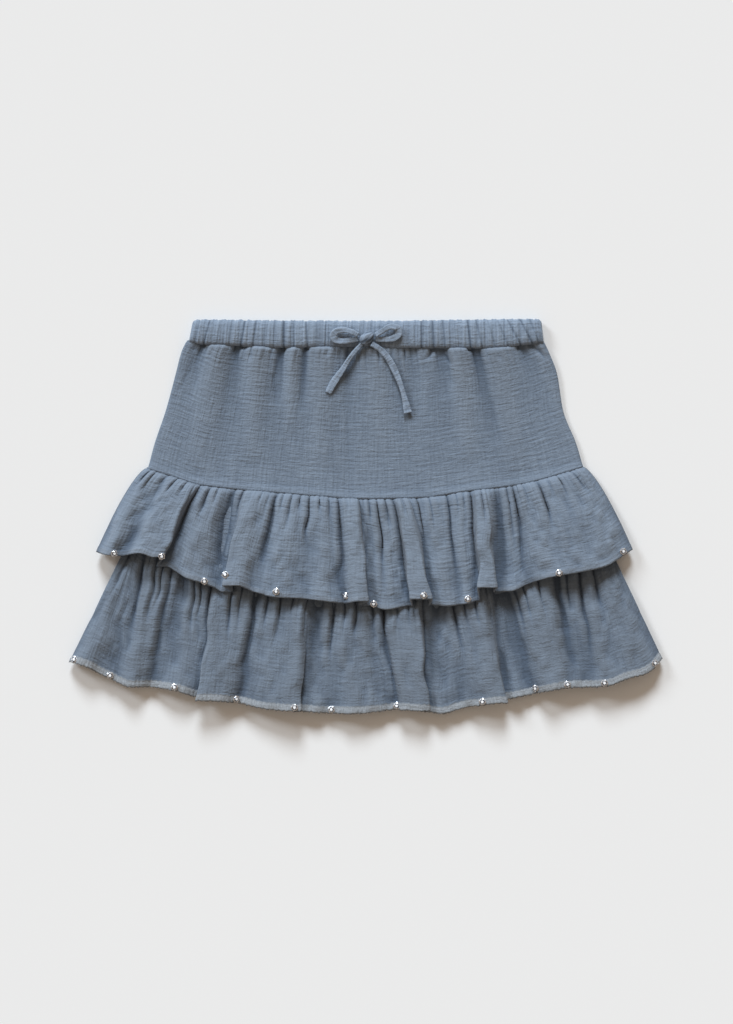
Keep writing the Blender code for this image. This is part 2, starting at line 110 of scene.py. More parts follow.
# Soft folds of the upper front: x at the waist, x at the seam, share of the way down where the
# fold starts, where it ends, height (a trough is negative), half width
panelFolds = (
    (-130, -166, 0, 0.45, -1.2, 6),
    (-118, -140, 0, 0.90, 1.2, 11),
    (-103.5, -118, 0, 0.95, -1.1, 6),
    (-86, -93, 0, 0.80, 1.6, 9),
    (-66.4, -82, 0, 0.40, -1.4, 5),
    (-58, -64, 0, 0.60, 1.4, 7),
    (-50.4, -54, 0, 0.45, -1, 5),
    (-34, -38, 0, 0.80, 1.5, 11),
    (-14, -13, 0.1, 1.00, -0.6, 5),
    (8, 11, 0, 0.70, 1.2, 12),
    (37, 41, 0, 0.50, -0.8, 6),
    (60, 68, 0, 0.35, -1.4, 6),
    (74, 85, 0, 0.80, 1.6, 9),
    (88, 112, 0, 0.70, -1.3, 5),
    (104, 124, 0, 0.90, 1.4, 11),
    (126, 166, 0, 0.60, -1.2, 6),
)

# Seam of the first ruffle: x, drop
firstSeamLine = (
    (-175.6, 120), (-160, 124.6), (-132.8, 133.2), (-100.8, 136.8), (-52, 141),
    (0, 144.4), (43.2, 143.4), (80, 138.4), (115.2, 134), (136, 130), (173.6, 118.8),
)

# Seam of the second ruffle, under the first: x, drop
secondSeamLine = ((-190.4, 179.6), (-120, 194.6), (0, 203.6), (120, 194.6), (193.6, 179.6))

# Folds of the ruffles, from left to right: x at the seam, x at the hem, drop of the hem, height
# at the hem, lap. A lap above 0 is how far the fold before it lies over this valley, and one
# below 0 is how far the fold after it does.
firstFolds = (
    (-175.6, -215.2, 186.8, 9, 0),
    (-167.2, -206.4, 189.2, 14.6, 0),
    (-157.6, -195.2, 190, 11.5, 0),
    (-147.6, -180.8, 187.6, 19.5, 0),
    (-140.8, -168.4, 190.8, 20.5, 0),
    (-133.6, -160.4, 198.4, 10.4, 7),
    (-121.6, -143.2, 207.6, 13.5, 0),
    (-115.2, -130.6, 212, 13, 0),
    (-109.6, -121.6, 215.6, 10.6, 0),
    (-96.8, -113.6, 218.8, 11, -7),
    (-84.8, -102.4, 213.6, 19.5, 0),
    (-74.4, -92, 218, 15, 0),
    (-58, -70, 223, 16.5, 0),
    (-44.8, -50.4, 224, 14, 0),
    (-34, -35, 225.8, 16, 0),
    (-22.4, -18.4, 228, 11.5, 0),
    (-13.6, -7, 226, 19.5, 0),
    (-5.2, 2, 229.6, 10.6, 7),
    (9, 17, 232.8, 12.5, 0),
    (22.4, 35.6, 230, 10.2, -2),
    (28.8, 43.2, 224.4, 19.5, 0),
    (35.2, 50.8, 229.2, 10.8, 2),
    (50, 64, 230, 14, 0),
    (64.8, 75.2, 228.8, 11, 0),
    (73, 82, 228, 14.5, 0),
    (84.8, 90.8, 226, 10.5, -2),
    (90.8, 97.2, 215.2, 21, 0),
    (97, 103, 218.8, 11, 2),
    (107.2, 116, 218, 13, 0),
    (116.8, 127.2, 213.2, 10.8, 0),
    (129, 148, 206.4, 17.5, 0),
    (145.6, 171.2, 202.8, 18.5, 0),
    (160, 192, 197.6, 16, 0),
    (173.6, 212.8, 184.8, 9, 0),
)
secondFolds = (
    (-190.4, -236.8, 274.8, 7, 0),
    (-185.6, -225.6, 278, 11.5, 0),
    (-181.6, -204, 289.2, 7, 0),
    (-171.2, -188.8, 295, 12.5, 0),
    (-152, -172.8, 295.2, 6.2, 0),
    (-139.2, -152, 298, 12, 0),
    (-121.6, -135.2, 302.8, 6.4, -6),
    (-113.6, -126.4, 305.8, 14.5, 0),
    (-99.2, -113.6, 306.8, 13, 0),
    (-83.2, -100.8, 308, 6.2, 0),
    (-68.8, -83.2, 312, 12, 0),
    (-54.4, -60.8, 314, 15, 0),
    (-44, -52, 314.8, 6.6, 6),
    (-35.2, -40, 315.4, 9, 0),
    (-25.6, -30.4, 316, 7, 0),
    (-11.2, -11.2, 316.4, 11, 0),
    (6.4, 25.6, 313.2, 6.2, 0),
    (17.6, 32, 313.4, 13, 0),
    (30.4, 41.6, 314, 14.5, 0),
    (43.2, 49.6, 315.2, 6.2, 4),
    (52.8, 60.8, 316.4, 10, 0),
    (64, 80, 311.6, 7.5, 0),
    (76.8, 94.4, 309.2, 12, 0),
    (88, 104.8, 307.8, 14, 0),
    (94.4, 112, 304.8, 6.6, 2),
    (100.4, 123.2, 302.8, 9.5, 0),
    (106.6, 135.2, 300.4, 6.2, 0),
    (127.2, 148.8, 297.6, 14.5, 0),
    (139.2, 160, 295.8, 12, 0),
    (164.8, 180.8, 295.2, 8.5, 0),
    (174.4, 192, 294.4, 12, 0),
    (184, 212.8, 287.2, 12.5, 0),
    (189.6, 225.6, 283.3, 10, 0),
    (193.6, 236.8, 272.4, 7, 0),
)

# Hems of the back ruffles, hidden under the front ones: x, drop
firstBackHem = (
    (-215.2, 186.8), (-180, 188), (-150, 198), (-113, 208), (-60, 219),
    (0, 225), (50, 224.5), (90, 216), (125, 207), (160, 199), (190, 193),
    (212.8, 184.8),
)
secondBackHem = (
    (-236.8, 274.8), (-200, 285), (-150, 291.5), (-100, 302), (-50, 309),
    (0, 309.5), (50, 310), (100, 301), (150, 292), (200, 284), (236.8, 272.4),
)

# Tie: routes of the bow's loops and ends by x, drop and height
leftLoop = (
    (-6.5, 13.6, 13.5), (-11.2, 11, 14.2), (-17.6, 9.4, 13.9), (-23.2, 10.4, 13.1), (-26.2, 14, 12.3),
    (-23.8, 17.6, 11.5), (-17.6, 18.4, 11.1), (-12, 17.6, 11.1), (-6.5, 16.6, 11.2),
)
rightLoop = (
    (7.7, 13.6, 13.5), (13.6, 10, 14.2), (20, 6.8, 13.9), (24.8, 7.8, 13.1), (26.2, 11.6, 12.3),
    (23.6, 15.2, 11.5), (17.6, 16.8, 11.1), (12.6, 16.8, 11.1), (7.7, 16.6, 11.2),
)
leftEnd = (
    (-3.2, 20.4, 11.4), (-10.4, 28.2, 9.6), (-19, 41.2, 8), (-26.2, 51.6, 7.4), (-30.4, 59.6, 7),
)
rightEnd = (
    (4.4, 20.4, 11.4), (11.2, 24.8, 10.2), (17.6, 31.6, 8.8), (23.2, 42, 7.8), (28, 54, 7.2),
    (31.2, 65.2, 6.8), (33.6, 75.6, 6.6),
)
knotMiddle = (0.6, 15.4, 12.7)
knotHalf = (4.6, 2.9)  # across it and up

# Width of the tie along each end: share of the way from the knot, width
loopWidths = ((0, 4.2), (0.2, 4.4), (0.5, 6), (0.8, 4.6), (1, 4.2))
leftWidths = ((0, 3.2), (0.45, 4.2), (0.8, 6), (1, 5.2))
rightWidths = ((0, 4.4), (0.4, 5.4), (0.72, 4), (0.9, 5.8), (1, 7))

# Wrinkles of the casing: x at its top edge, x at its lower edge, depth, half width
bandWrinkles = (
    (-133, -137, 0.7, 1.2), (-124.8, -129.8, 1.3, 1.3), (-116, -120, 0.6, 1.1),
    (-107, -109.5, 0.6, 1.1), (-96.8, -100, 1.5, 1.4), (-88, -90.4, 1.1, 1.2),
    (-80.5, -82, 0.5, 1), (-73, -74, 0.7, 1.1), (-65.6, -65.6, 1.5, 1.4), (-58.4, -57.6, 0.8, 1.1),
    (-48, -46.8, 1.4, 1.4), (-40, -40, 0.7, 1.1), (-32, -33, 0.6, 1), (34, 34.5, 0.6, 1.1),
    (44.2, 44.6, 1.3, 1.3), (53.2, 54.4, 1.2, 1.3), (61.2, 63.6, 0.8, 1.1), (71, 72.5, 0.6, 1.1),
    (81.2, 84, 1.4, 1.4), (88, 93.2, 1, 1.2), (97, 104, 0.7, 1.1), (105, 114, 0.8, 1.2),
    (113, 124, 1.2, 1.3), (123.2, 133.4, 1.3, 1.3), (131, 138.4, 0.9, 1.2),
)

# Sharp creases of the upper front: x and drop where one starts, x and drop where it fades out,
# height (a trough is negative), half width
panelCreases = (
    (-129.8, 21, -142.7, 46, -1.7, 2.2), (-141, 42, -150, 60, -0.8, 2.2),
    (-103, 22.5, -107.2, 56, -1.7, 2.2), (-106.6, 50, -117.5, 114, -1.3, 2.4),
    (-90.4, 23, -92, 36, -1.6, 1.8), (-65.8, 24, -74.7, 50, -2, 1.9),
    (-74.2, 46, -71.5, 68, -0.9, 2), (-47.4, 24, -52.8, 78, -1.3, 2.2),
    (-31, 24, -33, 34, -1, 1.6), (-14.4, 30, -13.2, 140, -0.6, 1.8),
    (9, 24, 12, 40, -0.9, 1.8), (30, 24.5, 32, 36, -0.9, 1.7),
    (55, 24, 47, 34, -1.9, 1.7), (60, 24.5, 72, 40, -1.5, 1.7),
    (65, 24.5, 70, 60, -1, 2.2), (83.6, 24, 91, 46, -1.9, 2),
    (89.5, 42, 108, 98, -1.3, 2.4), (104, 24, 108, 36, -1, 1.7),
    (124, 22, 137, 49, -1.6, 2), (135, 44, 153, 70, -1, 2.3),
    (132.8, 20.5, 147, 34, -1.8, 2),
    (-133.5, 21.4, -126, 21.8, -3.2, 1.5), (-105.5, 22.8, -89, 23.5, -3.4, 1.5),
    (-68.5, 24.4, -62.5, 24.4, -3.4, 1.7), (-49.5, 24, -43.5, 24, -3, 1.6),
    (51, 24.6, 68, 24.8, -3.4, 1.5), (80.5, 24.9, 89, 24.9, -3.2, 1.5),
    (120.5, 22.9, 127.5, 22.2, -3.2, 1.6), (129.5, 21.9, 136, 21.2, -3, 1.5),
)

# Stones along the hems: x, drop
firstStones = (
    (-200, 188.4), (-161.6, 190), (-128, 210), (-112.8, 205.2), (-72, 218), (-16.8, 221.2),
    (5.6, 228.4), (47.2, 221.2), (81.6, 223.6), (153.6, 202), (205.6, 186.8),
)
secondStones = (
    (-232.8, 271.6), (-204, 286), (-153.6, 293.6), (-103.2, 304.4), (-57.6, 310.8), (-28, 311.6),
    (24, 309.2), (92.8, 305.2), (135.2, 296.4), (160.8, 291.6), (189.6, 291.6), (231.2, 274.8),
)


# Smooth curve through rows whose first column is their place: the other columns at each spot
def smooth(rows, spots):
    rows = np.asarray(rows, dtype=float)
    spots = np.atleast_1d(np.asarray(spots, dtype=float))
    place, value = rows[:, 0], rows[:, 1:]
    steep = np.diff(value, axis=0) / np.diff(place)[:, None]
    before, after = steep[:-1], steep[1:]
    same = before * after > 0
    middle = np.where(same, 2 * before * after / np.where(same, before + after, 1), 0)
    slope = np.vstack([steep[:1], middle, steep[-1:]])
    index = np.clip(np.searchsorted(place, spots, side="right") - 1, 0, len(place) - 2)
    run = (place[index + 1] - place[index])[:, None]
    part = ((spots - place[index])[:, None] / run)
    squared, cubed = part ** 2, part ** 3
    return ((2 * cubed - 3 * squared + 1) * value[index]
            + (cubed - 2 * squared + part) * run * slope[index]
            + (3 * squared - 2 * cubed) * value[index + 1]
            + (cubed - squared) * run * slope[index + 1])


# Value of a table of places and values at x
def line(table, x):
    return smooth(table, np.ravel(x))[:, 0].reshape(np.shape(x))


def smoothStep(low, high, value):
    part = np.clip((value - low) / (high - low), 0, 1)
    return part * part * (3 - 2 * part)


# Uneven ripple between about -1 and 1
def ripple(place, wavelength, seed):
    random = np.random.default_rng(seed)
    knots = np.arange(np.min(place) - 2 * wavelength, np.max(place) + 2 * wavelength, wavelength / 2)
    swing = random.uniform(0.25, 1, len(knots)) * (-1.0) ** np.arange(len(knots))
    knots = knots + random.uniform(-0.14, 0.14, len(knots)) * wavelength
    return line(np.column_stack([knots, swing]), place)


# Soft uneven field between about -1 and 1, with patches of the given size across and down
def cloudy(cloth, size, seed):
    random = np.random.default_rng(seed)
    x = (cloth[:, :, 0] - cloth[:, :, 0].min()) / size[0]
    y = (cloth[:, :, 1] - cloth[:, :, 1].min()) / size[1]
    lattice = random.uniform(-1, 1, (int(x.max()) + 2, int(y.max()) + 2))
    i, j = x.astype(int), y.astype(int)
    u, v = smoothStep(0, 1, x - i), smoothStep(0, 1, y - j)
    return ((lattice[i, j] * (1 - u) + lattice[i + 1, j] * u) * (1 - v)
            + (lattice[i, j + 1] * (1 - u) + lattice[i + 1, j + 1] * u) * v)


# Rounds a sheet's sides toward the height at which front and back meet
def closeSides(sheet, sideHeight, reach=10.0):
    x = sheet[:, :, 0]
    inside = np.minimum(x - x[:, :1], x[:, -1:] - x)
    near = np.clip(inside / reach, 0, 1)
    keep = np.sqrt(1 - (1 - near) ** 2)
    side = np.broadcast_to(np.asarray(sideHeight, dtype=float), len(sheet))[:, None]
    sheet[:, :, 2] = side + (sheet[:, :, 2] - side) * keep
    return sheet


# Stations of a ruffle's section, as the solid has them: x at the seam, x at the hem with the laps
# open, drop of the hem, height, and how far a closed lap moves the hem across
def stations(folds):
    points = []
    for number, (seamX, hemX, hemDrop, height, lap) in enumerate(folds):
        if lap == 0:
            points.append((seamX, hemX, hemDrop, height, 0.0))
            continue
        way = 1 if lap > 0 else -1
        over = folds[number - way]
        turned = (
            (-2, 0.0, over[2], over[3] - lapEdge),
            (-1, -lap / 2, (over[2] + hemDrop) / 2, height + lapTurn),
            (0, -lap, hemDrop, height + lapTurn / 2),
            (1, -lap / 2, hemDrop, height),
            (2, way, hemDrop, height),
        )
        steps = [(seamX + way * step * lapSpread / 2, hemX + way * step, drop, up, across - way * step)
                 for step, across, drop, up in turned]
        points.extend(steps[::way])
    return np.array(points)


def foldColumns(folds, spacing):
    points = stations(folds)
    closedX = points[:, 1] + points[:, 4]
    steps = np.hypot(np.diff(closedX), np.diff(points[:, 3]))
    place = np.concatenate([[0], np.cumsum(steps)])
    spots = np.linspace(0, place[-1], int(place[-1] / spacing))
    return smooth(np.column_stack([place, points]), spots).T


# Soft troughs and ridges along short lines: x and drop of both ends, height, half width
def crease(sheet, lines):
    x, drop = sheet[:, :, 0], sheet[:, :, 1]
    for startX, startDrop, endX, endDrop, height, half in lines:
        runX, runDrop = endX - startX, endDrop - startDrop
        length = math.hypot(runX, runDrop)
        along = ((x - startX) * runX + (drop - startDrop) * runDrop) / length ** 2
        away = ((x - startX) * runDrop - (drop - startDrop) * runX) / length / half
        taper = smoothStep(-0.08, 0.06, along) * (1 - smoothStep(0.45, 1.0, along))
        sheet[:, :, 2] += height * taper * np.exp(-away ** 2)


# Small crinkles of the gauze, measured on the cloth itself: how many, their length, lean and depth
def crinkle(cloth, look, seed):
    random = np.random.default_rng(seed)
    across, down = cloth[:, :, 0], cloth[:, :, 1]
    raised = np.zeros(across.shape)
    low, high = (across.min(), down.min()), (across.max(), down.max())
    for _ in range(look["crinkles"]):
        middle = random.uniform(low, high)
        half = random.uniform(*look["length"]) / 2
        lean = random.normal(0, look["lean"])
        width = random.uniform(*look["width"])
        depth = random.uniform(*look["depth"])
        reach = half * min(1, abs(lean) + 0.1) + 4
        row = np.searchsorted(down[:, 0], (middle[1] - reach, middle[1] + reach))
        column = np.searchsorted(across[0], (middle[0] - half - 3, middle[0] + half + 3))
        patch = (slice(*row), slice(*column))
        alongX, alongY = across[patch] - middle[0], down[patch] - middle[1]
        bend = 0.012 * random.uniform(-1, 1) * alongX ** 2
        along = (alongX * math.cos(lean) + alongY * math.sin(lean)) / half
        away = (alongY * math.cos(lean) - alongX * math.sin(lean) + bend) / width
        shape = 0.45 * np.exp(-(away - 1.9) ** 2) + 0.45 * np.exp(-(away + 1.9) ** 2) - np.exp(-away ** 2)
        raised[patch] += depth * shape * np.clip(1 - along ** 2, 0, 1)
    return raised


# Mean of a grid of heights over the given numbers of columns and rows to each side
def blur(height, across, down):
    for axis, reach in ((1, across), (0, down)):
        edges = [(0, 0), (0, 0)]
        edges[axis] = (reach, reach)
        padded = np.pad(height, edges, mode="edge")
        weights = np.hanning(2 * reach + 3)[1:-1]
        count = height.shape[axis]
        shifted = [weight * np.take(padded, np.arange(start, start + count), axis)
                   for start, weight in enumerate(weights)]
        height = sum(shifted) / weights.sum()
    return height


# Rounds a sheet off where it would go below a height
def keepAbove(sheet, low, soft=0.5):
    sheet[:, :, 2] = low + soft * np.logaddexp(0, (sheet[:, :, 2] - low) / soft)


# Places a few rows of points, given from top to bottom, on a fine grid of rows
def fillRows(rows, count):
    rows = np.array(rows)
    places = np.column_stack([np.arange(len(rows)), rows.reshape(len(rows), -1)])
    return smooth(places, np.linspace(0, len(rows) - 1, count)).reshape(count, -1, 3)


def normals(sheet):
    down = np.gradient(sheet, axis=0)
    across = np.gradient(sheet, axis=1)
    face = np.cross(across, down)
    face[[0, -1], :, 1] = 0
    return face / np.linalg.norm(face, axis=2, keepdims=True)


# World points in metres from rows of x, drop and height
def world(points):
    points = np.asarray(points, dtype=float)
    return np.stack([points[..., 0], halfLength - points[..., 1], points[..., 2]], axis=-1) * mm


# Mesh object in a material slot. values are uv, the shade painted on each point (darkest deep in a crease
# or where something keeps the light off) and finish (number of each face's material).
def meshPiece(name, vertices, faces, materials, values=None, smoothed=True):
    data = bpy.data.meshes.new(name)
    data.from_pydata(np.asarray(vertices).tolist(), [], faces)
    values = values or {}
    if "uv" in values:
        layer = data.uv_layers.new(name="cloth")
        corner = np.empty(len(data.loops), dtype=np.int32)
        data.loops.foreach_get("vertex_index", corner)
        layer.data.foreach_set("uv", values["uv"].astype(np.float32)[corner].ravel())
    # the shade painted on each point, read by the cloth's colour
    if "paintedShade" in values:
        layer = data.attributes.new("paintedShade", "FLOAT", "POINT")
        layer.data.foreach_set("value", values["paintedShade"].astype(np.float32).ravel())
    if smoothed:
        data.shade_smooth()
    for material in materials:
        data.materials.append(material)
    if "finish" in values:
        data.polygons.foreach_set("material_index", values["finish"])
    piece = bpy.data.objects.new(name, data)
    bpy.context.scene.collection.objects.link(piece)
    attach(piece, "root")
    return piece


# Tube of rings that follow one another, with a fan over each end, in place of a node of the frame.
# along is the place of each ring on the flat cloth, and girth the cloth around a ring, in mm. In a
# lengthwise piece the creases of the gauze run along the tube.
def tubePiece(name, node, rings, ends, deep, along, girth, material, lengthwise=False):
    length, count = rings.shape[:2]
    index = np.arange(length * count).reshape(length, count)
    turned = np.roll(index, -1, axis=1)
    faces = np.stack([index[:-1], index[1:], turned[1:], turned[:-1]], -1).reshape(-1, 4).tolist()
    faces += [(length * count, p, q) for p, q in zip(index[0].tolist(), turned[0].tolist())]
    faces += [(length * count + 1, q, p) for p, q in zip(index[-1].tolist(), turned[-1].tolist())]
    uv = np.zeros((length * count + 2, 2))
    uv[:-2, 0] = np.repeat(along, count) * mm
    uv[:-2, 1] = np.tile(np.linspace(0, girth, count), length) * mm
    if lengthwise:
        uv = uv[:, ::-1]
    # deep is the shade painted on each point of the rings
    values = {"uv": uv, "paintedShade": np.concatenate([np.array(deep).ravel(), [0, 0]])}
    piece = meshPiece(name, np.concatenate([rings.reshape(-1, 3), ends]), faces, [material], values)
    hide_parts(node)
    return piece


# Distance of each point from the first one, measured along the line
def lengths(points):
    return np.concatenate([[0], np.cumsum(np.linalg.norm(np.diff(points, axis=0), axis=1))])


# Place of each point on the flat cloth: distance across along the last row, and down the middle
def clothPlaces(sheet):
    middle = sheet[:, sheet.shape[1] // 2]
    return np.stack(np.meshgrid(lengths(sheet[-1]), lengths(middle)), -1)


# Distance of each point from the hem, measured along its column
def fromHem(sheet):
    steps = np.linalg.norm(np.diff(sheet, axis=0), axis=2)[::-1]
    return np.vstack([np.zeros(sheet.shape[1]), np.cumsum(steps, axis=0)])[::-1]


# How close the points of a sheet lie to the hem of the tier above, from 0 to 1, which sets the shadow
# painted under that hem
def coveredBy(sheet, upper, reach):
    order = np.argsort(upper[-1, :, 0])
    edge = np.interp(sheet[:, :, 0], upper[-1, order, 0], upper[-1, order, 1])
    return np.exp(-(np.maximum(sheet[:, :, 1] - edge, 0) / reach) ** 2)


# How the shade painted into a point's creases is found: columns and rows to each side over which its
# surroundings are averaged, depth that counts as 1, least and most, weight
creaseScales = (
    (3, 3, 0.7, -0.6, 1.2, 0.5),
    (13, 3, 3.0, -1.0, 1.0, 0.7),
    (34, 6, 4.0, -1.0, 1.2, 1.1),
)


# Thin cloth on a sheet of underside points, in place of a node of the frame. Its last argument is the
# painted shadow, how much of the light something above it keeps off.
def clothPiece(name, node, sheet, thick, material, paintedShadow=0.0):
    rows, columns = sheet.shape[:2]
    upper = sheet + normals(sheet) * np.broadcast_to(thick, (rows, columns))[:, :, None]
    vertices = np.concatenate([world(sheet).reshape(-1, 3), world(upper).reshape(-1, 3)])
    index = np.arange(rows * columns).reshape(rows, columns)
    a, b, c, d = index[:-1, :-1], index[:-1, 1:], index[1:, 1:], index[1:, :-1]
    top = rows * columns
    faces = [np.stack([a, b, c, d], -1).reshape(-1, 4), np.stack([a, d, c, b], -1).reshape(-1, 4) + top]
    for rim in (index[0][::-1], index[-1], index[:, 0], index[:, -1][::-1]):
        faces.append(np.stack([rim[:-1], rim[1:], rim[1:] + top, rim[:-1] + top], -1))
    uv = np.stack([clothPlaces(sheet)[:, :, 0], fromHem(sheet)], -1).reshape(-1, 2) * mm
    height = sheet[:, :, 2]
    # Shade painted into the colour: darker where the cloth lies below its surroundings, in its creases
    paintedShade = 0.0
    for across, down, depth, least, most, weight in creaseScales:
        paintedShade = paintedShade + weight * np.clip((blur(height, across, down) - height) / depth, least, most)
    paintedShade = paintedShade + paintedShadow
    values = {"uv": np.tile(uv, (2, 1)), "paintedShade": np.tile(paintedShade.ravel(), 2)}
    piece = meshPiece(name, vertices, np.concatenate(faces).tolist(), [material], values)
    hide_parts(node)
    return piece


# Socket of a shader that adds, multiplies and so on as a number does
class Value:
    def __init__(self, tree, socket):
        self.tree = tree
        self.socket = socket

    def math(self, operation, other, turned=False):
        made = self.tree.nodes.new("ShaderNodeMath")
        made.operation = operation
        for place, value in zip(made.inputs, (other, self) if turned else (self, other)):
            put(self.tree, place, value)
        return Value(self.tree, made.outputs[0])

    __add__ = partialmethod(math, "ADD")
    __radd__ = partialmethod(math, "ADD", turned=True)
    __sub__ = partialmethod(math, "SUBTRACT")
    __rsub__ = partialmethod(math, "SUBTRACT", turned=True)
    __mul__ = partialmethod(math, "MULTIPLY")
    __rmul__ = partialmethod(math, "MULTIPLY", turned=True)
    __truediv__ = partialmethod(math, "DIVIDE")
    __rtruediv__ = partialmethod(math, "DIVIDE", turned=True)
    __pow__ = partialmethod(math, "POWER")

    def size(self):
        return self.math("ABSOLUTE", 0.0)

    # 0 below the first number, 1 above the second
    def between(self, low, high):
        part = (self - low) / (high - low)
        return part.math("MAXIMUM", 0.0).math("MINIMUM", 1.0)


def put(tree, place, value):
    if isinstance(value, Value):
        tree.links.new(value.socket, place)
    else:
        place.default_value = value


class Shader:
    def __init__(self, name):
        self.material = bpy.data.materials.new(name)
        self.material.use_nodes = True
        self.tree = self.material.node_tree
        self.surface = self.tree.nodes["Principled BSDF"]

    # New node of a kind, with its settings, the values or links of its sockets, and one output
    def node(self, kind, settings, sockets, output=0):
        made = self.tree.nodes.new("ShaderNode" + kind)
        for name, value in settings.items():
            setattr(made, name, value)
        for name, value in sockets.items():
            put(self.tree, made.inputs[name], value)
        return Value(self.tree, made.outputs[output])

    # Noise on the flat cloth, stretched by a share across and a share down
    def noise(self, uv, scale, stretch, detail=2.0, roughness=0.5):
        place = self.node("Mapping", {}, {"Vector": uv, "Scale": (*stretch, 1.0)})
        return self.node("TexNoise", {"noise_dimensions": "2D"},
                         {"Vector": place, "Scale": scale, "Detail": detail, "Roughness": roughness})

    # Colour between two colours
    def mix(self, share, first, second):
        settings = {"data_type": "RGBA", "clamp_factor": True}
        return self.node("Mix", settings, {0: share, 6: first, 7: second}, 2)

    def finish(self, **sockets):
        for name, value in sockets.items():
            put(self.tree, self.surface.inputs[name.replace("_", " ")], value)
        return self.material


gauzeLook = {
    "colour": (0.200, 0.250, 0.320),
    "dark": (0.138, 0.176, 0.233),
    "paintedShade": (0.066, 0.092, 0.134),  # painted shade, deep in a crease
    "crest": (0.178, 0.214, 0.264),  # greyer tint painted on the ridge beside it, where the light falls
    "paintedShadeStrength": 0.92,  # how strongly the painted shade darkens a crease
    "paintedRidgeTint": 0.5,
    "hem": (0.275, 0.300, 0.330),
    "hem shade": 0.8,
    "roughness": 0.88,
    "sheen": 0.12,
    "bump": 0.0008,  # height of the relief, in metres
    "sway": 0.0025,  # how far the creases wander, in metres
    # scale of each layer's noise, per metre
    "crepe": 230.0,
    "threads": 520.0,
    "weave": 1500.0,
    "patches": 26.0,
    "streaks": 900.0,
    "swaying": 40.0,
    # power and weight of each layer of the cloth, in the relief and in the colour, where the layers paint
    # light on raised crinkles and threads and shade in their furrows; the patches are the cloth's own
    # uneven tone
    "relief": (("crepe", 0.5, 0.4), ("broad", 0.6, 0.2), ("warp", 0.6, 0.4), ("lumps", 1, 0.7),
               ("weave", 1, 0.2), ("threads", 1, 0.7)),
    "shade": (("patches", 1, 0.8), ("crepe", 0.35, 0.42), ("broad", 0.4, 0.15), ("warp", 0.4, 0.35),
              ("weave", 1, 0.45), ("lumps", 1, 0.3), ("threads", 1, 0.8)),
    "middle": 0.82,  # of the shade, the painted light and uneven tone
}

# Cloths: tone, depth of the pale hem in metres, how pale it is. The tones are painted light and shade on
# one gauze: the tie and waistband lighter, the second ruffle darker.
cloths = {
    "gauzeTie": (1.42, 0.0, 0.0),
    "gauze": (1.06, 0.0, 0.0),
    "gauzeBand": (1.38, 0.0, 0.0),
    "gauzeFirst": (1.0, 0.0040, 0.16),
    "gauzeSecond": (0.86, 0.0060, 1.0),
}


# Colour with its alpha, made lighter or darker
def toned(colour, tone=1.0):
    return (*(part * tone for part in colour), 1.0)


# Sum of noises, each raised to its power and weighted
def blend(layers, table):
    total = None
    for name, power, weight in table:
        layer = layers[name] if power == 1 else layers[name] ** power
        total = layer * weight if total is None else total + layer * weight
    return total


# Crinkled double gauze. A hem that is as pale as can be is frayed too.
def gauze(name, look):
    tone, hemDepth, hemShare = cloths[name]
    shader = Shader(name)
    uv = shader.node("UVMap", {"uv_map": "cloth"}, {})
    down = shader.node("SeparateXYZ", {}, {"Vector": uv}, 1)
    sway = shader.noise(uv, look["swaying"], (1.0, 1.0))
    swayed = shader.node("VectorMath", {"operation": "ADD"},
                         {0: uv, 1: shader.node("CombineXYZ", {}, {"Y": sway * look["sway"]})})
    crepe, threads = look["crepe"], look["threads"]
    layers = {
        "crepe": (shader.noise(swayed, crepe, (0.26, 1.0), 3.0, 0.6) - 0.5).size() * 2,
        "broad": (shader.noise(swayed, crepe * 0.42, (0.42, 1.0), 2.0) - 0.5).size() * 2,
        "warp": (shader.noise(uv, crepe * 1.3, (1.0, 0.12), 2.0, 0.6) - 0.5).size() * 2,
        "lumps": shader.noise(uv, crepe * 1.8, (0.7, 1.0), 2.0, 0.7),
        "weave": shader.noise(uv, look["weave"], (0.6, 1.0), 1.0),
        "threads": (shader.noise(uv, threads, (1.0, 0.08), 1.0)
                    + shader.noise(uv, threads, (0.08, 1.0), 1.0) - 0.5),
        "patches": shader.noise(uv, look["patches"], (1.5, 0.5), 2.0) - 0.5,
    }
    height = blend(layers, look["relief"])
    bump = shader.node("Bump", {}, {"Height": height, "Strength": 0.7, "Distance": look["bump"]})
    # The colour follows the relief: painted light where crinkles and threads rise, painted shade in their
    # furrows
    shade = blend(layers, look["shade"]) - look["middle"]
    colour = shader.mix(shade, toned(look["dark"], tone), toned(look["colour"], tone))
    paintedShade = shader.node("Attribute", {"attribute_name": "paintedShade"}, {}, 2)
    # Painted light: ridges beside the creases take a greyer tint
    crest = (1.0 - paintedShade.between(-0.9, 0.1)) * look["paintedRidgeTint"]
    colour = shader.mix(crest, colour, toned(look["crest"], tone))
    # Painted shade: the colour darkens towards the crease colour where the points' painted shade is high
    colour = shader.mix(paintedShade.between(-0.35, 1.3) ** 1.5 * look["paintedShadeStrength"], colour, toned(look["paintedShade"]))
    alpha = 1.0
    if hemDepth:
        streaks = shader.noise(uv, look["streaks"], (1.0, 0.3), 2.0)
        edge = down + (sway - 0.5) * 0.0012 + (streaks - 0.5) * 0.0010
        band = 1.0 - edge.between(hemDepth - 0.0008, hemDepth + 0.0006)
        shaded = toned(look["hem"], look["hem shade"])
        hem = shader.mix(streaks.between(0.35, 0.6), shaded, toned(look["hem"]))
        colour = shader.mix(band * hemShare, colour, hem)
        if hemShare == 1.0:
            alpha = 1.0 - (1.0 - down.between(0.0, 0.0011)) * streaks.between(0.42, 0.52)
    return shader.finish(Base_Color=colour, Roughness=look["roughness"], Normal=bump, Alpha=alpha,
                         Sheen_Weight=look["sheen"], Sheen_Roughness=0.6, Specular_IOR_Level=0.2)


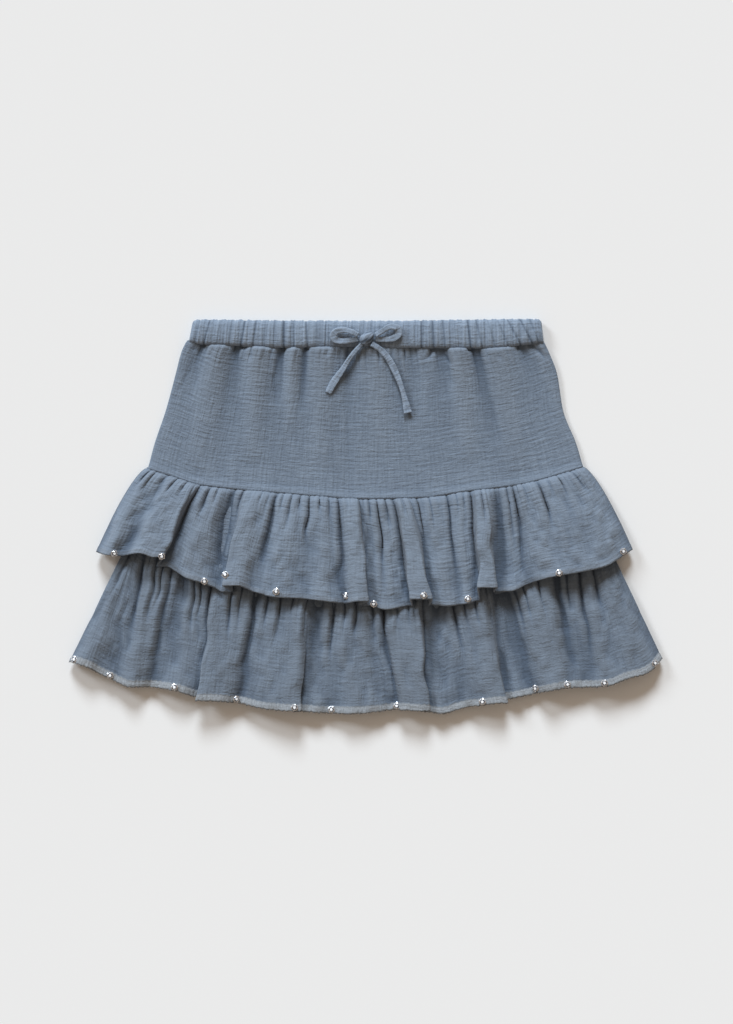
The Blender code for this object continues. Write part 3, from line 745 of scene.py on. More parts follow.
ruffleLook = {
    "spacing": 1.15,  # of the columns, in mm
    "rows": 84,
    "thick": 0.9,
    "hem": 4.6,  # depth of the hem
    "hem thick": 1.25,
    "gather": 1.6,
    "fine": 3.5,  # wavelength of the fine gathers, in mm
    "reach": 0.17,  # share of the way down that they go, and how much that varies
    "reach varies": 0.12,
    "deeper": 2.9,  # how deep the main gathers are, against their table
    "low": 1.9,  # height above the floor that no gather goes below
    "widen": 0.9,  # how much a gather widens on its way down
    "crest": 0.3,  # height of the crest beside it
    "rumple": 2.0,
    "wander": 1.6,  # how far folds lean to the side
    "tuck": 1.6,  # how far the top goes up under the panel's edge, and down
    "crinkles": 620,
    "length": (5, 20),
    "lean": 0.24,
    "width": (0.7, 1.0),
    "depth": (0.08, 0.34),
}

# Main gathers: x at the seam, share of the way down that they reach, depth, half width
firstGathers = (
    (-171, 0.20, 1, 1.5), (-166.4, 0.25, 0.9, 1.4), (-158, 0.15, 0.7, 1.2), (-149.8, 0.22, 1.1, 1.3),
    (-142, 0.18, 0.8, 1.1), (-131, 0.95, 1.3, 1.8), (-123.2, 0.42, 1.3, 1.5), (-117, 0.20, 0.9, 1.1),
    (-105.5, 1.10, 2, 5.2), (-98, 0.30, 0.8, 1.4), (-96, 0.18, 0.8, 1.1), (-82, 0.14, 0.5, 1),
    (-70.4, 0.85, 1.7, 2), (-64.5, 0.22, 0.8, 1.1), (-58.2, 0.30, 0.9, 1.2), (-52, 0.18, 0.8, 1.1),
    (-44.8, 0.48, 1.4, 1.5), (-37, 0.18, 0.7, 1.1), (-30, 0.26, 0.8, 1.1), (-22.4, 0.85, 1.4, 1.5),
    (-15, 0.16, 0.6, 1), (-6, 0.50, 1.1, 1.4), (2, 0.24, 0.9, 1.2), (8, 0.90, 1.3, 1.5),
    (14.5, 0.28, 0.9, 1.2), (20.8, 0.95, 1.7, 1.8), (28, 0.20, 0.8, 1.1), (34, 0.28, 0.9, 1.1),
    (40, 0.45, 1.1, 1.2), (49.6, 0.34, 1, 1.2), (56, 0.20, 0.7, 1), (64, 0.78, 1.5, 1.5),
    (71.9, 0.24, 0.8, 1.2), (77, 0.18, 0.8, 1.1), (83.2, 0.85, 1.4, 1.6), (91.9, 0.45, 0.9, 1.2),
    (104, 1.05, 1.9, 3.8), (112, 0.80, 1.2, 1.6), (116.8, 0.95, 1.5, 1.7), (125.2, 0.30, 0.9, 1.2),
    (136, 0.55, 1.8, 1.9), (143.5, 0.20, 0.8, 1.2), (151.9, 0.28, 0.9, 1.3), (163.5, 0.24, 1, 1.3),
)
secondGathers = (
    (-186, 0.50, 1, 1.5), (-176, 0.90, 1.5, 2.2), (-166, 0.60, 1.1, 1.6), (-160, 0.45, 0.9, 1.4),
    (-153, 1.00, 1.2, 2), (-143, 1.10, 2.1, 5), (-135, 0.70, 1, 1.6), (-130, 0.50, 1, 1.4),
    (-121, 0.90, 1.2, 1.9), (-104, 0.60, 1.1, 1.5), (-96, 0.50, 0.9, 1.3), (-84, 0.98, 1.8, 2.2),
    (-75, 0.50, 1, 1.3), (-66, 0.60, 1, 1.4), (-57, 0.45, 0.8, 1.2), (-46, 0.98, 1.1, 1.8),
    (-37, 1.05, 1.7, 4.4), (-25.6, 0.75, 1.5, 2), (-17, 0.50, 1, 1.3), (-9, 0.60, 1.1, 1.5),
    (0, 0.50, 0.9, 1.3), (7.5, 0.98, 1.7, 2), (20, 0.50, 0.8, 1.3), (31, 0.45, 0.7, 1.2),
    (44, 0.95, 1, 1.6), (53, 1.05, 1.9, 4.6), (66.5, 0.70, 1.5, 1.6), (75, 0.50, 1, 1.3),
    (84, 0.55, 1, 1.4), (92, 0.60, 0.9, 1.7), (103, 1.10, 2.3, 5.4), (113, 0.65, 1, 1.5),
    (121, 0.60, 1, 1.5), (134, 0.50, 0.9, 1.4), (149, 1.00, 1.9, 3.6), (157, 0.50, 1, 1.4),
    (168, 0.85, 1.5, 1.9), (178, 0.60, 1.2, 1.6),
)


# Tiers: height at the seam, powers by which it flares and rises on the way down, heights of the side
# fold at the seam and at the hem, unevenness of the hem, first seed of its random draws
firstTier = {
    "folds": firstFolds,
    "gathers": firstGathers,
    "seam": firstSeamLine,
    "seam height": 4.5,
    "flare": 0.72,
    "swell": 0.45,
    "sides": (2.85, 6.0),
    "uneven": 0.1,
    "seed": 11,
}
secondTier = {
    "folds": secondFolds,
    "gathers": secondGathers,
    "seam": secondSeamLine,
    "seam height": 5.0,
    "flare": 1.0,
    "swell": 0.8,
    "sides": (4.85, 4.5),
    "uneven": 0.3,
    "fray": 0.45,
    "shaded": 0.75,  # how dark the shadow painted under the first tier's hem is
    "shade reach": 6.5,
    "seed": 21,
}


# Front ruffle on its solid's form, with fine gathers that run down from the seam
def frontRuffle(tier, look):
    seamX, hemX, hemDrop, height, lapped = foldColumns(tier["folds"], look["spacing"])
    seamDrop = line(tier["seam"], seamX) + seamGap / 2
    seamHeight, seed, tuck = tier["seam height"], tier["seed"], look["tuck"]
    fine = 2 * np.clip(0.5 + 0.5 * ripple(seamX, look["fine"], seed), 0, 1) ** 0.6 - 1
    amount = look["gather"] * np.clip(0.75 + 0.4 * ripple(seamX, 23.0, seed + 4), 0.4, 1.1)
    wide = ripple(seamX, 7.5, seed + 1)
    reach = look["reach"] + look["reach varies"] * ripple(seamX, 8.0, seed + 2)
    share = np.concatenate([[-tuck / 80, -tuck / 160], np.linspace(0, 1, look["rows"]) ** 1.2])
    rows = []
    for down in share:
        part = max(down, 0)
        closed = 0.25 * smoothStep(0.3, 0.6, part) + 0.75 * smoothStep(0.6, 1.0, part)
        x = seamX + (hemX - seamX) * part ** tier["flare"] + lapped * closed
        drop = seamDrop + (hemDrop - seamDrop) * down
        up = seamHeight + (height - seamHeight) * part ** tier["swell"]
        up = up - tuck * (1 - smoothStep(-0.02, 0.04, down))
        fade = np.exp(-(part / np.maximum(reach, 0.06)) ** 2) * smoothStep(-0.03, 0.02, down)
        wave = 0.35 * (1 + wide) * math.exp(-part / 0.35) * smoothStep(0, 0.06, down)
        up = up + amount * (0.5 * (1 + fine) * fade + wave)
        for place, far, depth, half in tier["gathers"]:
            # a short gather is shallower, and none is deep right at the seam
            strength = smoothStep(-0.01, 0.04, down) * (1 - smoothStep(far * 0.4, far * 1.05, part))
            full = depth * look["deeper"] * (0.68 + 0.32 * smoothStep(0.25, 0.6, far))
            deep = strength * min(full, 1.8 + 18 * part)
            wider = max(half, 1.5) * (0.85 + look["widen"] * part * min(1, far))
            away = (seamX - place) / wider
            up = up - deep * np.exp(-away ** 2) + look["crest"] * deep * np.exp(-(away + 2) ** 2)
        rows.append(np.column_stack([x, drop, up]))
    sheet = np.array(rows)
    cloth = clothPlaces(sheet)
    free = smoothStep(0.02, 0.3, share)[:, None]
    rumple = 0.6 * cloudy(cloth, (13, 22), seed) + 0.4 * cloudy(cloth, (6, 9), seed + 1)
    sheet[:, :, 2] += look["rumple"] * free * rumple
    inside = np.minimum(cloth[:, :, 0], cloth[:, -1:, 0] - cloth[:, :, 0])
    wander = look["wander"] * free * cloudy(cloth, (20, 17), seed + 2)
    sheet[:, :, 0] += wander * smoothStep(3, 25, inside)
    sheet[:, :, 2] += crinkle(cloth, look, seed) * smoothStep(0, 6, cloth[:, :, 1])
    keepAbove(sheet, look["low"])
    low, high = tier["sides"]
    return closeSides(sheet, low + (high - low) * np.clip(share, 0, 1) + seamGap / 2)


# Hem that is thicker than the cloth, and uneven where it is rolled
def hemThickness(sheet, look, uneven, seed):
    hem = 1 - smoothStep(look["hem"] - 0.7, look["hem"] + 0.7, fromHem(sheet))
    across = clothPlaces(sheet)[-1, :, 0]
    lumps = uneven * (ripple(across, 3.6, seed) + 0.5 * ripple(across, 9.0, seed + 1))
    return look["thick"] + (look["hem thick"] - look["thick"] + lumps[None, :]) * hem


# Uneven edge of a rolled hem
def fray(sheet, depth, seed):
    across = clothPlaces(sheet)[-1, :, 0]
    near = np.exp(-(fromHem(sheet) / 2.5) ** 2)
    uneven = ripple(across, 4.2, seed) + 0.6 * ripple(across, 2.5, seed + 1)
    sheet[:, :, 1] += depth * near * uneven[None, :]


panelLook = {
    "columns": 300,
    "rows": 105,
    "dense": 1.15,  # how much closer the rows are at the waist
    "thick": 0.9,
    "gather": 1.3,
    "edge": 0.8,  # how much the turned edge over the ruffle rises
    "crinkles": 800,
    "length": (6, 26),
    "lean": 0.13,
    "width": (0.65, 1.0),
    "depth": (0.04, 0.19),
    "folds": 2.6,  # how high the soft folds are, against their table
    "fall": 0.65,  # power by which they fall on the way down
    "low": 2.5,  # height above the floor that no crease goes below
    "tucked": 4.6,  # height of the top edge, which goes under the waistband
    "tuck": 0.01,  # share of the depth over which it goes down there
    "overlap": 1.0,  # with the waistband
    "shaded": 0.6,  # how dark the shadow painted beside the tie is
    "shade reach": 4.0,
}


# Flat grid of an upper panel, and the height of its side fold at each row
def panelGrid(downs, columns):
    share = np.linspace(0, 1, columns)
    rows = []
    for down, (left, right, front, _) in zip(downs, smooth(panelSection, downs)):
        x = left + (right - left) * share
        waist = line(np.asarray(bandEdge)[:, [1, 3]], np.clip(x, *cuffs)) - panelLook["overlap"]
        seam = line(firstSeamLine, x) + seamGap / 2
        drop = waist * (1 - down) + seam * down
        rows.append(np.column_stack([x, drop, np.full(columns, front)]))
    return np.array(rows), smooth(panelSection, downs)[:, 3]


def upperFront(look):
    downs = np.linspace(0, 1, look["rows"]) ** look["dense"]
    sheet, side = panelGrid(downs, look["columns"])
    place = np.linspace(-142, 142, look["columns"])
    fine = ripple(place, 5.0, 31)
    reach = 0.12 + 0.08 * ripple(place, 14.0, 32)
    for number, down in enumerate(downs):
        x = sheet[number, :, 0]
        for waistX, seamX, start, end, height, half in panelFolds:
            along = np.clip((down - start) / (end - start), 0, 1)
            away = (x - waistX - (seamX - waistX) * down) / half
            full = look["folds"] * height * (1 - along) ** look["fall"] * math.exp(-start)
            sheet[number, :, 2] += full * np.exp(-away ** 2)
        sheet[number, :, 2] += look["gather"] * 0.5 * (1 + fine) * np.exp(-(down / reach) ** 2)
    crease(sheet, panelCreases)
    cloth = clothPlaces(sheet)
    sheet[:, :, 2] += crinkle(cloth, look, 33) * smoothStep(0, 4, cloth[:, :, 1])
    sheet[:, :, 2] += look["edge"] * smoothStep(0.94, 0.985, downs)[:, None]
    tuck = np.exp(-(downs / look["tuck"]) ** 2)[:, None]
    sheet[:, :, 2] -= tuck * np.maximum(sheet[:, :, 2] - look["tucked"], 0)
    keepAbove(sheet, look["low"])
    return closeSides(sheet, side + seamGap / 2)


backLook = {
    "columns": 230,
    "rows": 56,
    "thick": 0.85,
    "base thick": 0.7,  # of the hidden panels
    "front start": 1.7,  # height of the front hidden panel at its seam
    "back start": 0.7,
    "gather": 0.8,
    "crinkles": 420,
    "length": (6, 26),
    "lean": 0.14,
    "width": (1.2, 1.8),
    "depth": (0.1, 0.4),
    "wall": 1.2,  # of the solid, below whose top the cloth's underside lies
    "side reach": 12.0,  # over which a ruffle's sides are rounded
}


# Low arches of a back ruffle, which lies on the surface between them
def arches(share, count, height):
    swing = np.sin(2 * math.pi * (count * share + 0.35 * np.sin(2 * math.pi * 3 * share)))
    uneven = 0.75 + 0.25 * np.cos(2 * math.pi * 5 * share)
    return height * uneven * np.clip(swing, 0, 1)


# Crinkles and fine gathers on a back sheet, which stays above the surface it lies on
def finishBack(sheet, reach, look, seed):
    cloth = clothPlaces(sheet)
    down = np.linspace(0, 1, len(sheet))[:, None]
    fine = 0.5 * (1 + ripple(cloth[0, :, 0], 5.0, seed))[None, :]
    gathered = look["gather"] * fine * np.exp(-(down / reach) ** 2) * smoothStep(0, 0.05, down)
    raised = crinkle(cloth, look, seed) + gathered
    sheet[:, :, 2] = np.maximum(sheet[:, :, 2] + raised * smoothStep(0, 0.05, down), 0)
    return sheet


def upperBack(look):
    sheet, side = panelGrid(np.linspace(0, 1, look["rows"]), look["columns"])
    sheet[:, :, 2] = 0
    return closeSides(finishBack(sheet, 0.2, look, 51), side - seamGap / 2 - look["wall"])


# Plain panel under the first ruffle, from its seam to the seam of the second
def basePanel(start, look, seed):
    rows = []
    share = np.linspace(0, 1, look["columns"])
    for down in (0.0, 0.09, 0.26, 1.0):
        left = firstSeamLine[0][0] + baseInset
        right = firstSeamLine[-1][0] - baseInset
        left += (secondSeamLine[0][0] - left) * down
        right += (secondSeamLine[-1][0] - right) * down
        x = left + (right - left) * share
        drop = (line(firstSeamLine, x) + baseStart) * (1 - down)
        drop += (line(secondSeamLine, x) - seamGap / 2) * down
        climb = baseClimb * min(1, down / 0.26) ** 0.8
        rows.append(np.column_stack([x, drop, np.full(len(x), start + climb)]))
    sheet = fillRows(rows, 30)
    sheet[:, :, 2] += 0.18 * cloudy(clothPlaces(sheet), (14, 9), seed)
    return sheet


# Places of a back ruffle's columns: their share across, x and drop at the seam and at the hem
def backColumns(seam, hem, look):
    share = np.linspace(0, 1, look["columns"])
    seamX = seam[0][0] + (seam[-1][0] - seam[0][0]) * share
    hemX = hem[0][0] + (hem[-1][0] - hem[0][0]) * share
    return share, seamX, hemX, line(seam, seamX) + seamGap / 2, line(hem, hemX)


def firstBack(look):
    share, seamX, hemX, seamDrop, hemDrop = backColumns(firstSeamLine, firstBackHem, look)
    downs = np.linspace(0, 1, look["rows"])
    rows = []
    for down in downs:
        x = seamX + (hemX - seamX) * down ** firstTier["flare"]
        drop = seamDrop + (hemDrop - seamDrop) * down
        rows.append(np.column_stack([x, drop, arches(share, 15, 2.0) * down]))
    sheet = finishBack(np.array(rows), 0.35, look, 53)
    side = np.interp(downs, [0, 1], firstTier["sides"])
    return closeSides(sheet, side - seamGap / 2 - look["wall"], look["side reach"])


# The second ruffle's back steps down past the first one's hem onto the surface
def secondBack(look):
    share, seamX, hemX, seamDrop, hemDrop = backColumns(secondSeamLine, secondBackHem, look)
    pastFirst = line(firstBackHem, np.clip(seamX * 1.08, firstBackHem[0][0], firstBackHem[-1][0]))
    floor = arches(share, 16, 3.0)
    rows = []
    drops = (seamDrop, pastFirst + 2.5, pastFirst + 18, (pastFirst + 18 + hemDrop) / 2, hemDrop)
    heights = (backBase + baseClimb, backBase + baseClimb, 0, floor * 0.6, floor)
    for drop, height in zip(drops, heights):
        down = (drop - seamDrop) / (hemDrop - seamDrop)
        rows.append(np.column_stack([seamX + (hemX - seamX) * down, drop, np.zeros(len(share)) + height]))
    sheet = finishBack(fillRows(rows, look["rows"]), 0.12, look, 55)
    side = np.interp(np.linspace(0, 4, look["rows"]), range(5), (4.85, 4.8, 4.7, 4.6, 4.5))
    return closeSides(sheet, side - seamGap / 2 - look["wall"], look["side reach"])


bandLook = {
    "columns": 520,
    "around": 30,  # points of a ring
    "wave": 0.5,
    "wrinkle": 0.75,  # of the wrinkles' depth, against their table
    "fine": 0.3,
    "narrow": 0.7,  # of the wrinkles, against their table
    "pit": 0.55,  # how far a wrinkle pulls the lower edge up
    "notch": 0.3,  # and the top edge down
    "ragged": 0.4,  # how uneven the top edge is
    "corner": 2.6,  # how far the ends are cut off at the top
    "full": 1.5,  # length of its cloth against its width
    "girth": 52,  # cloth around it, in mm
    "shaded": 0.65,  # how dark the shadow painted beside the tie is
    "shade reach": 3.6,
}


# Gathered casing, rounded off at the two ends
def waistband(name, node, section, bottom, turned, look, material, seed):
    table = np.column_stack([np.linspace(0, 1, len(bandEdge)), bandEdge])
    width = np.ptp(table[:, 1])
    table[:, 0] = (table[:, 1] - table[0, 1]) / width
    share = np.linspace(0, 1, look["columns"])
    wave = ripple(share * width, 7.0, seed) + 0.5 * ripple(share * width, 3.1, seed + 1)
    fine = ripple(share * width, 2.3, seed + 2) * (0.6 + 0.4 * ripple(share * width, 21.0, seed + 3))
    closed = np.vstack([section, section[:1]])
    around = np.linspace(0, len(section), look["around"] + 1)[:-1]
    down, up = smooth(np.column_stack([np.arange(len(closed)), closed]), around).T
    rings = []
    deep = []
    for number, (topX, lowX, top, low) in enumerate(smooth(table, share)):
        inside = min(share[number], 1 - share[number]) * width
        roundOff = math.sqrt(1 - (1 - min(inside / bandThick, 1)) ** 2)
        thick = bandThick * (0.3 + 0.7 * roundOff)
        swing = look["wave"] * wave[number] * roundOff
        across = topX + (lowX - topX) * down
        wrinkle = np.zeros(len(down))
        for wrinkleTop, wrinkleLow, depth, half in bandWrinkles:
            away = (across - wrinkleTop - (wrinkleLow - wrinkleTop) * down) / (half * look["narrow"])
            wrinkle += depth * look["wrinkle"] * np.exp(-away ** 2) * roundOff
        lift = thick * up
        if turned:
            lift = lift - thick + 0.25 * wrinkle * (1 - up)
        else:
            waved = swing + look["fine"] * fine[number] * roundOff
            lift = lift + waved * up - wrinkle * up * (0.4 + 0.6 * down)
        drop = top + (low - seamGap / 2 - top) * down + swing * (0.5 - down) * (1 if turned else 0.6)
        drop = drop - look["pit"] * wrinkle * down ** 4 + look["notch"] * wrinkle * (1 - down) ** 4
        drop = drop + look["corner"] * (1 - roundOff) * (1 - down)
        uneven = look["ragged"] * (fine[number] + 0.6 * wave[number]) * roundOff
        drop = drop + uneven * np.clip(1 - down, 0, 1) ** 3
        rings.append(np.column_stack([across, drop, bottom + lift]))
        # painted shade: darkest in the wrinkles, least where the casing bulges
        deep.append(wrinkle * 1.2 - 0.25 * wave[number] - 0.3 * fine[number])
    rings = np.array(rings)
    deep = np.array(deep)
    # shadow of the bow, painted into the casing's colour
    if not turned:
        deep = deep + look["shaded"] * besideTie(rings[:, :, 0], rings[:, :, 1], look["shade reach"])
    ends = world([rings[0].mean(axis=0), rings[-1].mean(axis=0)])
    return tubePiece(name, node, world(rings), ends, deep, share * width * look["full"], look["girth"],
                     material)


tieLook = {
    "step": 0.7,  # between the rings, in mm
    "around": 20,  # points of a ring
    "girth": 11,  # cloth around it, in mm
    "thick": 2.1,
    "roll": 0.25,  # how far the tie turns on its route, in radians
    "groove": 0.42,
    "rumple": 0.12,
    "shade drop": 0.8,  # how far below the tie its shade lies, in mm
}


# How close places lie to the tie, which keeps the light off them, from 0 to 1
def besideTie(x, drop, reach):
    nearest = np.full(x.shape, 1000.0)
    for route in (leftLoop, rightLoop, leftEnd, rightEnd):
        for tieX, tieDrop, _ in fillRows(route, 60)[:, 0]:
            nearest = np.minimum(nearest, np.hypot(x - tieX, drop - tieLook["shade drop"] - tieDrop))
    return np.exp(-(nearest / reach) ** 2)


# Flat tie on its route, with a crease along it
def tie(name, node, route, widths, look, material, length):
    seed = len(node) + int(length * 1000)
    route = np.array(route)
    place = lengths(route)
    spots = np.linspace(0, place[-1], round(place[-1] / look["step"]))
    centre = world(smooth(np.column_stack([place, route]), spots)) / mm
    share = spots / place[-1]
    tangent = np.gradient(centre, axis=0)
    tangent /= np.linalg.norm(tangent, axis=1, keepdims=True)
    side = np.cross(tangent, (0, 0, 1))
    side /= np.linalg.norm(side, axis=1, keepdims=True)
    lift = np.cross(side, tangent)
    roll = look["roll"] * ripple(spots, 16.0, seed)[:, None]
    side, lift = side * np.cos(roll) + lift * np.sin(roll), lift * np.cos(roll) - side * np.sin(roll)
    half = line(widths, share) / 2 * (1 + 0.05 * ripple(spots, 5.0, seed + 1))
    angle = np.linspace(0, 2 * math.pi, look["around"], endpoint=False)
    out, over = np.cos(angle), np.sin(angle)
    rings = []
    deep = []
    groovePlace = 0.3 * ripple(spots, 22.0, seed + 2)
    rumple = look["rumple"] * (ripple(spots, 6.5, seed + 3) + 0.5 * ripple(spots, 2.9, seed + 4))
    for number, middle in enumerate(centre):
        groove = np.exp(-((out - groovePlace[number]) / 0.22) ** 2)
        second = np.exp(-((out + 0.55 - groovePlace[number]) / 0.18) ** 2)
        high = look["thick"] / 2 * np.sign(over) * np.abs(over) ** 0.75
        high = high - look["groove"] * np.sign(over) * (groove + 0.6 * second)
        high = high + rumple[number] * np.maximum(over, 0)
        wide = half[number] * np.sign(out) * np.abs(out) ** 0.85
        rings.append(middle + side[number] * wide[:, None] + lift[number] * high[:, None])
        # painted shade: darker in the creases and at the edges of the tie
        deep.append(0.9 * groove + 0.6 * second + 0.9 * np.abs(out) ** 6 - 0.6)
    rings = np.array(rings) * mm
    ends = centre[[0, -1]] * mm
    piece = tubePiece(name, node, rings, ends, deep, spots, look["girth"], material, True)


knotLook = {
    "rings": 40,
    "around": 48,  # points of a ring
    "lean": (5.4, -3.4),  # its half length across and down
    "girth": 25,  # cloth around it, in mm
    "length": 13,  # cloth along it
    "folds": 0.09,  # of its thickness
}


# Knot of the bow: a turn of the tie round the rest, with creases that run over it
def knot(look, material):
    rings = []
    deep = []
    angle = np.linspace(0, 2 * math.pi, look["around"], endpoint=False)
    for along in np.linspace(-0.985, 0.985, look["rings"]):
        size = (1 - abs(along) ** 2.4) ** 0.5
        folded = np.cos(3 * angle + 1.8 * along + 0.7) + 0.5 * np.cos(7 * angle - 2.5 * along)
        grow = size * (1 + look["folds"] * folded + 0.05 * math.sin(7 * along))
        rings.append(np.column_stack([
            knotMiddle[0] + look["lean"][0] * along + 0.42 * knotHalf[0] * grow * np.cos(angle),
            knotMiddle[1] + look["lean"][1] * along + 0.84 * knotHalf[0] * grow * np.cos(angle),
            knotMiddle[2] + knotHalf[1] * grow * np.sin(angle),
        ]))
        # painted shade: darker in the folds of the knot
        deep.append(0.4 - 0.9 * folded)
    rings = np.array(rings)
    ends = world([rings[0].mean(axis=0), rings[-1].mean(axis=0)])
    tubePiece("knot", "bow_knot", world(rings), ends, deep, np.linspace(0, look["length"], len(rings)),
              look["girth"], material)


stitchLook = {
    "length": 2.0,
    "pitch": 2.8,
    "thick": 0.42,
    "above": 1.5,  # from the panel's edge
    "colour": (0.20, 0.25, 0.32),
    "dark": 0.75,  # of its darker turns
}


# Points along one row of a sheet at even steps, with the way the row runs there
def alongRow(sheet, above, pitch, thick):
    row = int(np.argmin(np.abs(fromHem(sheet)[:, sheet.shape[1] // 2] - above)))
    points = sheet[row] + normals(sheet)[row] * thick
    place = lengths(points)
    spots = np.arange(pitch, place[-1] - pitch, pitch)
    centre = smooth(np.column_stack([place, points]), spots)
    way = smooth(np.column_stack([place, points]), spots + 0.5) - centre
    return centre, way / np.linalg.norm(way, axis=1, keepdims=True)


# Faces between rings of corners that follow one another
def ringFaces(first, rings, count):
    starts = [(first + ring * count, corner) for ring in range(rings - 1) for corner in range(count)]
    pairs = [(start + corner, start + (corner + 1) % count) for start, corner in starts]
    return [(a, a + count, b + count, b) for a, b in pairs]


def stitches(sheet, look, thick):
    shader = Shader("thread")
    twist = shader.node("TexNoise", {}, {"Scale": 2600.0, "Detail": 1.0})
    bump = shader.node("Bump", {}, {"Height": twist, "Strength": 0.4, "Distance": 0.0002})
    colour = shader.mix(twist, toned(look["colour"], look["dark"]), toned(look["colour"]))
    thread = shader.finish(Base_Color=colour, Roughness=0.6, Normal=bump)
    vertices = []
    faces = []
    for centre, way in zip(*alongRow(sheet, look["above"], look["pitch"], thick)):
        side = np.array([-way[1], way[0], 0])
        first = len(vertices)
        for along, size in ((-0.5, 0.25), (-0.36, 0.9), (0.36, 0.9), (0.5, 0.25)):
            for corner in range(6):
                turn = corner * math.pi / 3
                out = side * math.cos(turn) + np.array([0, 0, 0.8]) * math.sin(turn)
                vertices.append(centre + way * along * look["length"] + out * size * look["thick"] / 2)
        faces += ringFaces(first, 4, 6)
        faces.append(tuple(range(first, first + 6)))
        faces.append(tuple(range(first + 23, first + 17, -1)))
    meshPiece("stitches", world(vertices), faces, [thread])


stoneLook = {
    "radius": 2.15,  # of the stone, in mm
    "height": 1.5,
    "cup": 2.75,  # radius of its setting
    "prong": 0.42,
    "prong thick": 0.5,
    "upright": 0.6,  # how far a stone leans with the cloth
}

# Finishes of the stones' faces: colour, metallic, roughness. The bright, grey and dark facets are painted
# glints and reflections of the glass.
stoneFinish = {
    "silver": ((0.80, 0.81, 0.84), 0.9, 0.28),
    "paintedGlintFacet": ((0.95, 0.96, 0.98), 0.0, 0.08),
    "paintedGreyReflectionFacet": ((0.42, 0.45, 0.50), 0.3, 0.06),
    "paintedDarkReflectionFacet": ((0.045, 0.055, 0.075), 0.0, 0.05),
}


# Faces of a prong, which has four corners at each of its three places
prongFaces = (
    (1, 5, 7, 3), (0, 2, 6, 4), (0, 4, 5, 1), (2, 3, 7, 6),
    (5, 9, 11, 7), (4, 6, 10, 8), (4, 8, 9, 5), (6, 7, 11, 10),
    (0, 1, 3, 2), (8, 10, 11, 9),
)


def stoneFinishes():
    finishes = []
    for name, (colour, metal, rough) in stoneFinish.items():
        shader = Shader(name)
        worn = shader.node("TexNoise", {}, {"Scale": 900.0, "Detail": 2.0})
        roughness = worn * 0.16 + (rough - 0.06)
        finishes.append(shader.finish(Base_Color=toned(colour), Metallic=metal, Roughness=roughness))
    return finishes


# Faceted stones in their pronged settings, on the sheet at the given places
def stones(name, sheet, thick, places, look, finishes):
    face = normals(sheet)
    upper = sheet + face * thick[:, :, None]
    random = np.random.default_rng(7)
    radius, top, cup = look["radius"], look["height"], look["cup"]
    # radius, height and turn of each ring, from the setting's foot to the stone's middle
    rings = (
        (cup * 0.9, -0.2, 0), (cup, 0.25, 0), (cup, 0.65, 0), (radius * 1.04, 0.8, 0), (radius, 0.75, 0),
        (radius * 0.86, top * 0.85, 0.5), (radius * 0.5, top, 0), (0.05, top * 1.03, 0.5),
    )
    # distance, height and width of a prong along its length
    prong = ((cup + 0.25, 0, 1), (cup + 0.2, 1, 1), (radius * 0.8, top * 1.05, 0.7))
    vertices = []
    faces = []
    finish = []
    for x, drop in places:
        away = np.hypot(upper[:, :, 0] - x, upper[:, :, 1] - drop)
        close = np.where(away < max(1.3, away.min() + 0.2), upper[:, :, 2], -1)
        row, column = np.unravel_index(np.argmax(close), close.shape)
        up = face[row, column] * np.array([look["upright"], look["upright"], 1.0])
        up /= np.linalg.norm(up)
        east = np.cross((0.0, 1.0, 0.0), up)
        east /= np.linalg.norm(east)
        south = np.cross(up, east)
        middle = upper[row, column]
        start = random.uniform(0, 6)
        first = len(vertices)
        for away, height, turn in rings:
            for spot in np.arange(8) * math.pi / 4 + start + turn * math.pi / 4:
                out = east * math.cos(spot) + south * math.sin(spot)
                vertices.append(middle + out * away + up * height)
        for number, (a, b, c, d) in enumerate(ringFaces(first, len(rings), 8)):
            ring, corner = divmod(number, 8)
            faces += [(a, b, c), (a, c, d)]
            if ring < 4:  # the setting
                finish += [0, 0]
            elif ring == 6:  # the flat top, with a painted glint
                finish += [1, 1]
            else:
                # the other facets get painted glints and grey and dark painted reflections
                finish += [(3, 2, 3, 1, 2)[(corner * 2 + ring) % 5], (3, 2, 3)[(corner + ring) % 3]]
        for corner in range(4):
            spot = start + corner * math.pi / 2
            out = east * math.cos(spot) + south * math.sin(spot)
            across = np.cross(up, out)
            first = len(vertices)
            for away, height, size in prong:
                for sign in (-1, 1):
                    for over in (0, look["prong thick"]):
                        edge = across * sign * look["prong"] * size
                        vertices.append(middle + out * away + edge + up * (height + over))
            faces += [tuple(first + corner for corner in face) for face in prongFaces]
            finish += [0] * len(prongFaces)
    meshPiece(name, world(vertices), faces, finishes, {"finish": finish}, False)


def makeCamera(look):
    data = bpy.data.cameras.new("camera")
    data.sensor_width = look["sensor"]
    data.lens = look["sensor"] * look["distance"] / look["width"]
    camera = bpy.data.objects.new("camera", data)
    camera.location = (*look["middle"], look["distance"] + look["raised"])
    bpy.context.scene.collection.objects.link(camera)
    bpy.context.scene.camera = camera


lightLook = {
    "key": 3.2,  # strength
    "key colour": (0.83, 0.92, 1.0),
    "key place": (30, 4),  # degrees up, degrees to the left of the top of the picture
    "side": 1.5,
    "side place": (30, 50),
    "spread": 19,
    "fill": (0.36, 0.295, 0.235),
}


def makeSun(name, strength, place, look):
    data = bpy.data.lights.new(name, "SUN")
    data.energy = strength
    data.color = look["key colour"]
    data.angle = math.radians(look["spread"])
    lamp = bpy.data.objects.new(name, data)
    lamp.rotation_euler = (math.radians(place[0] - 90), 0, math.radians(place[1]))
    bpy.context.scene.collection.objects.link(lamp)


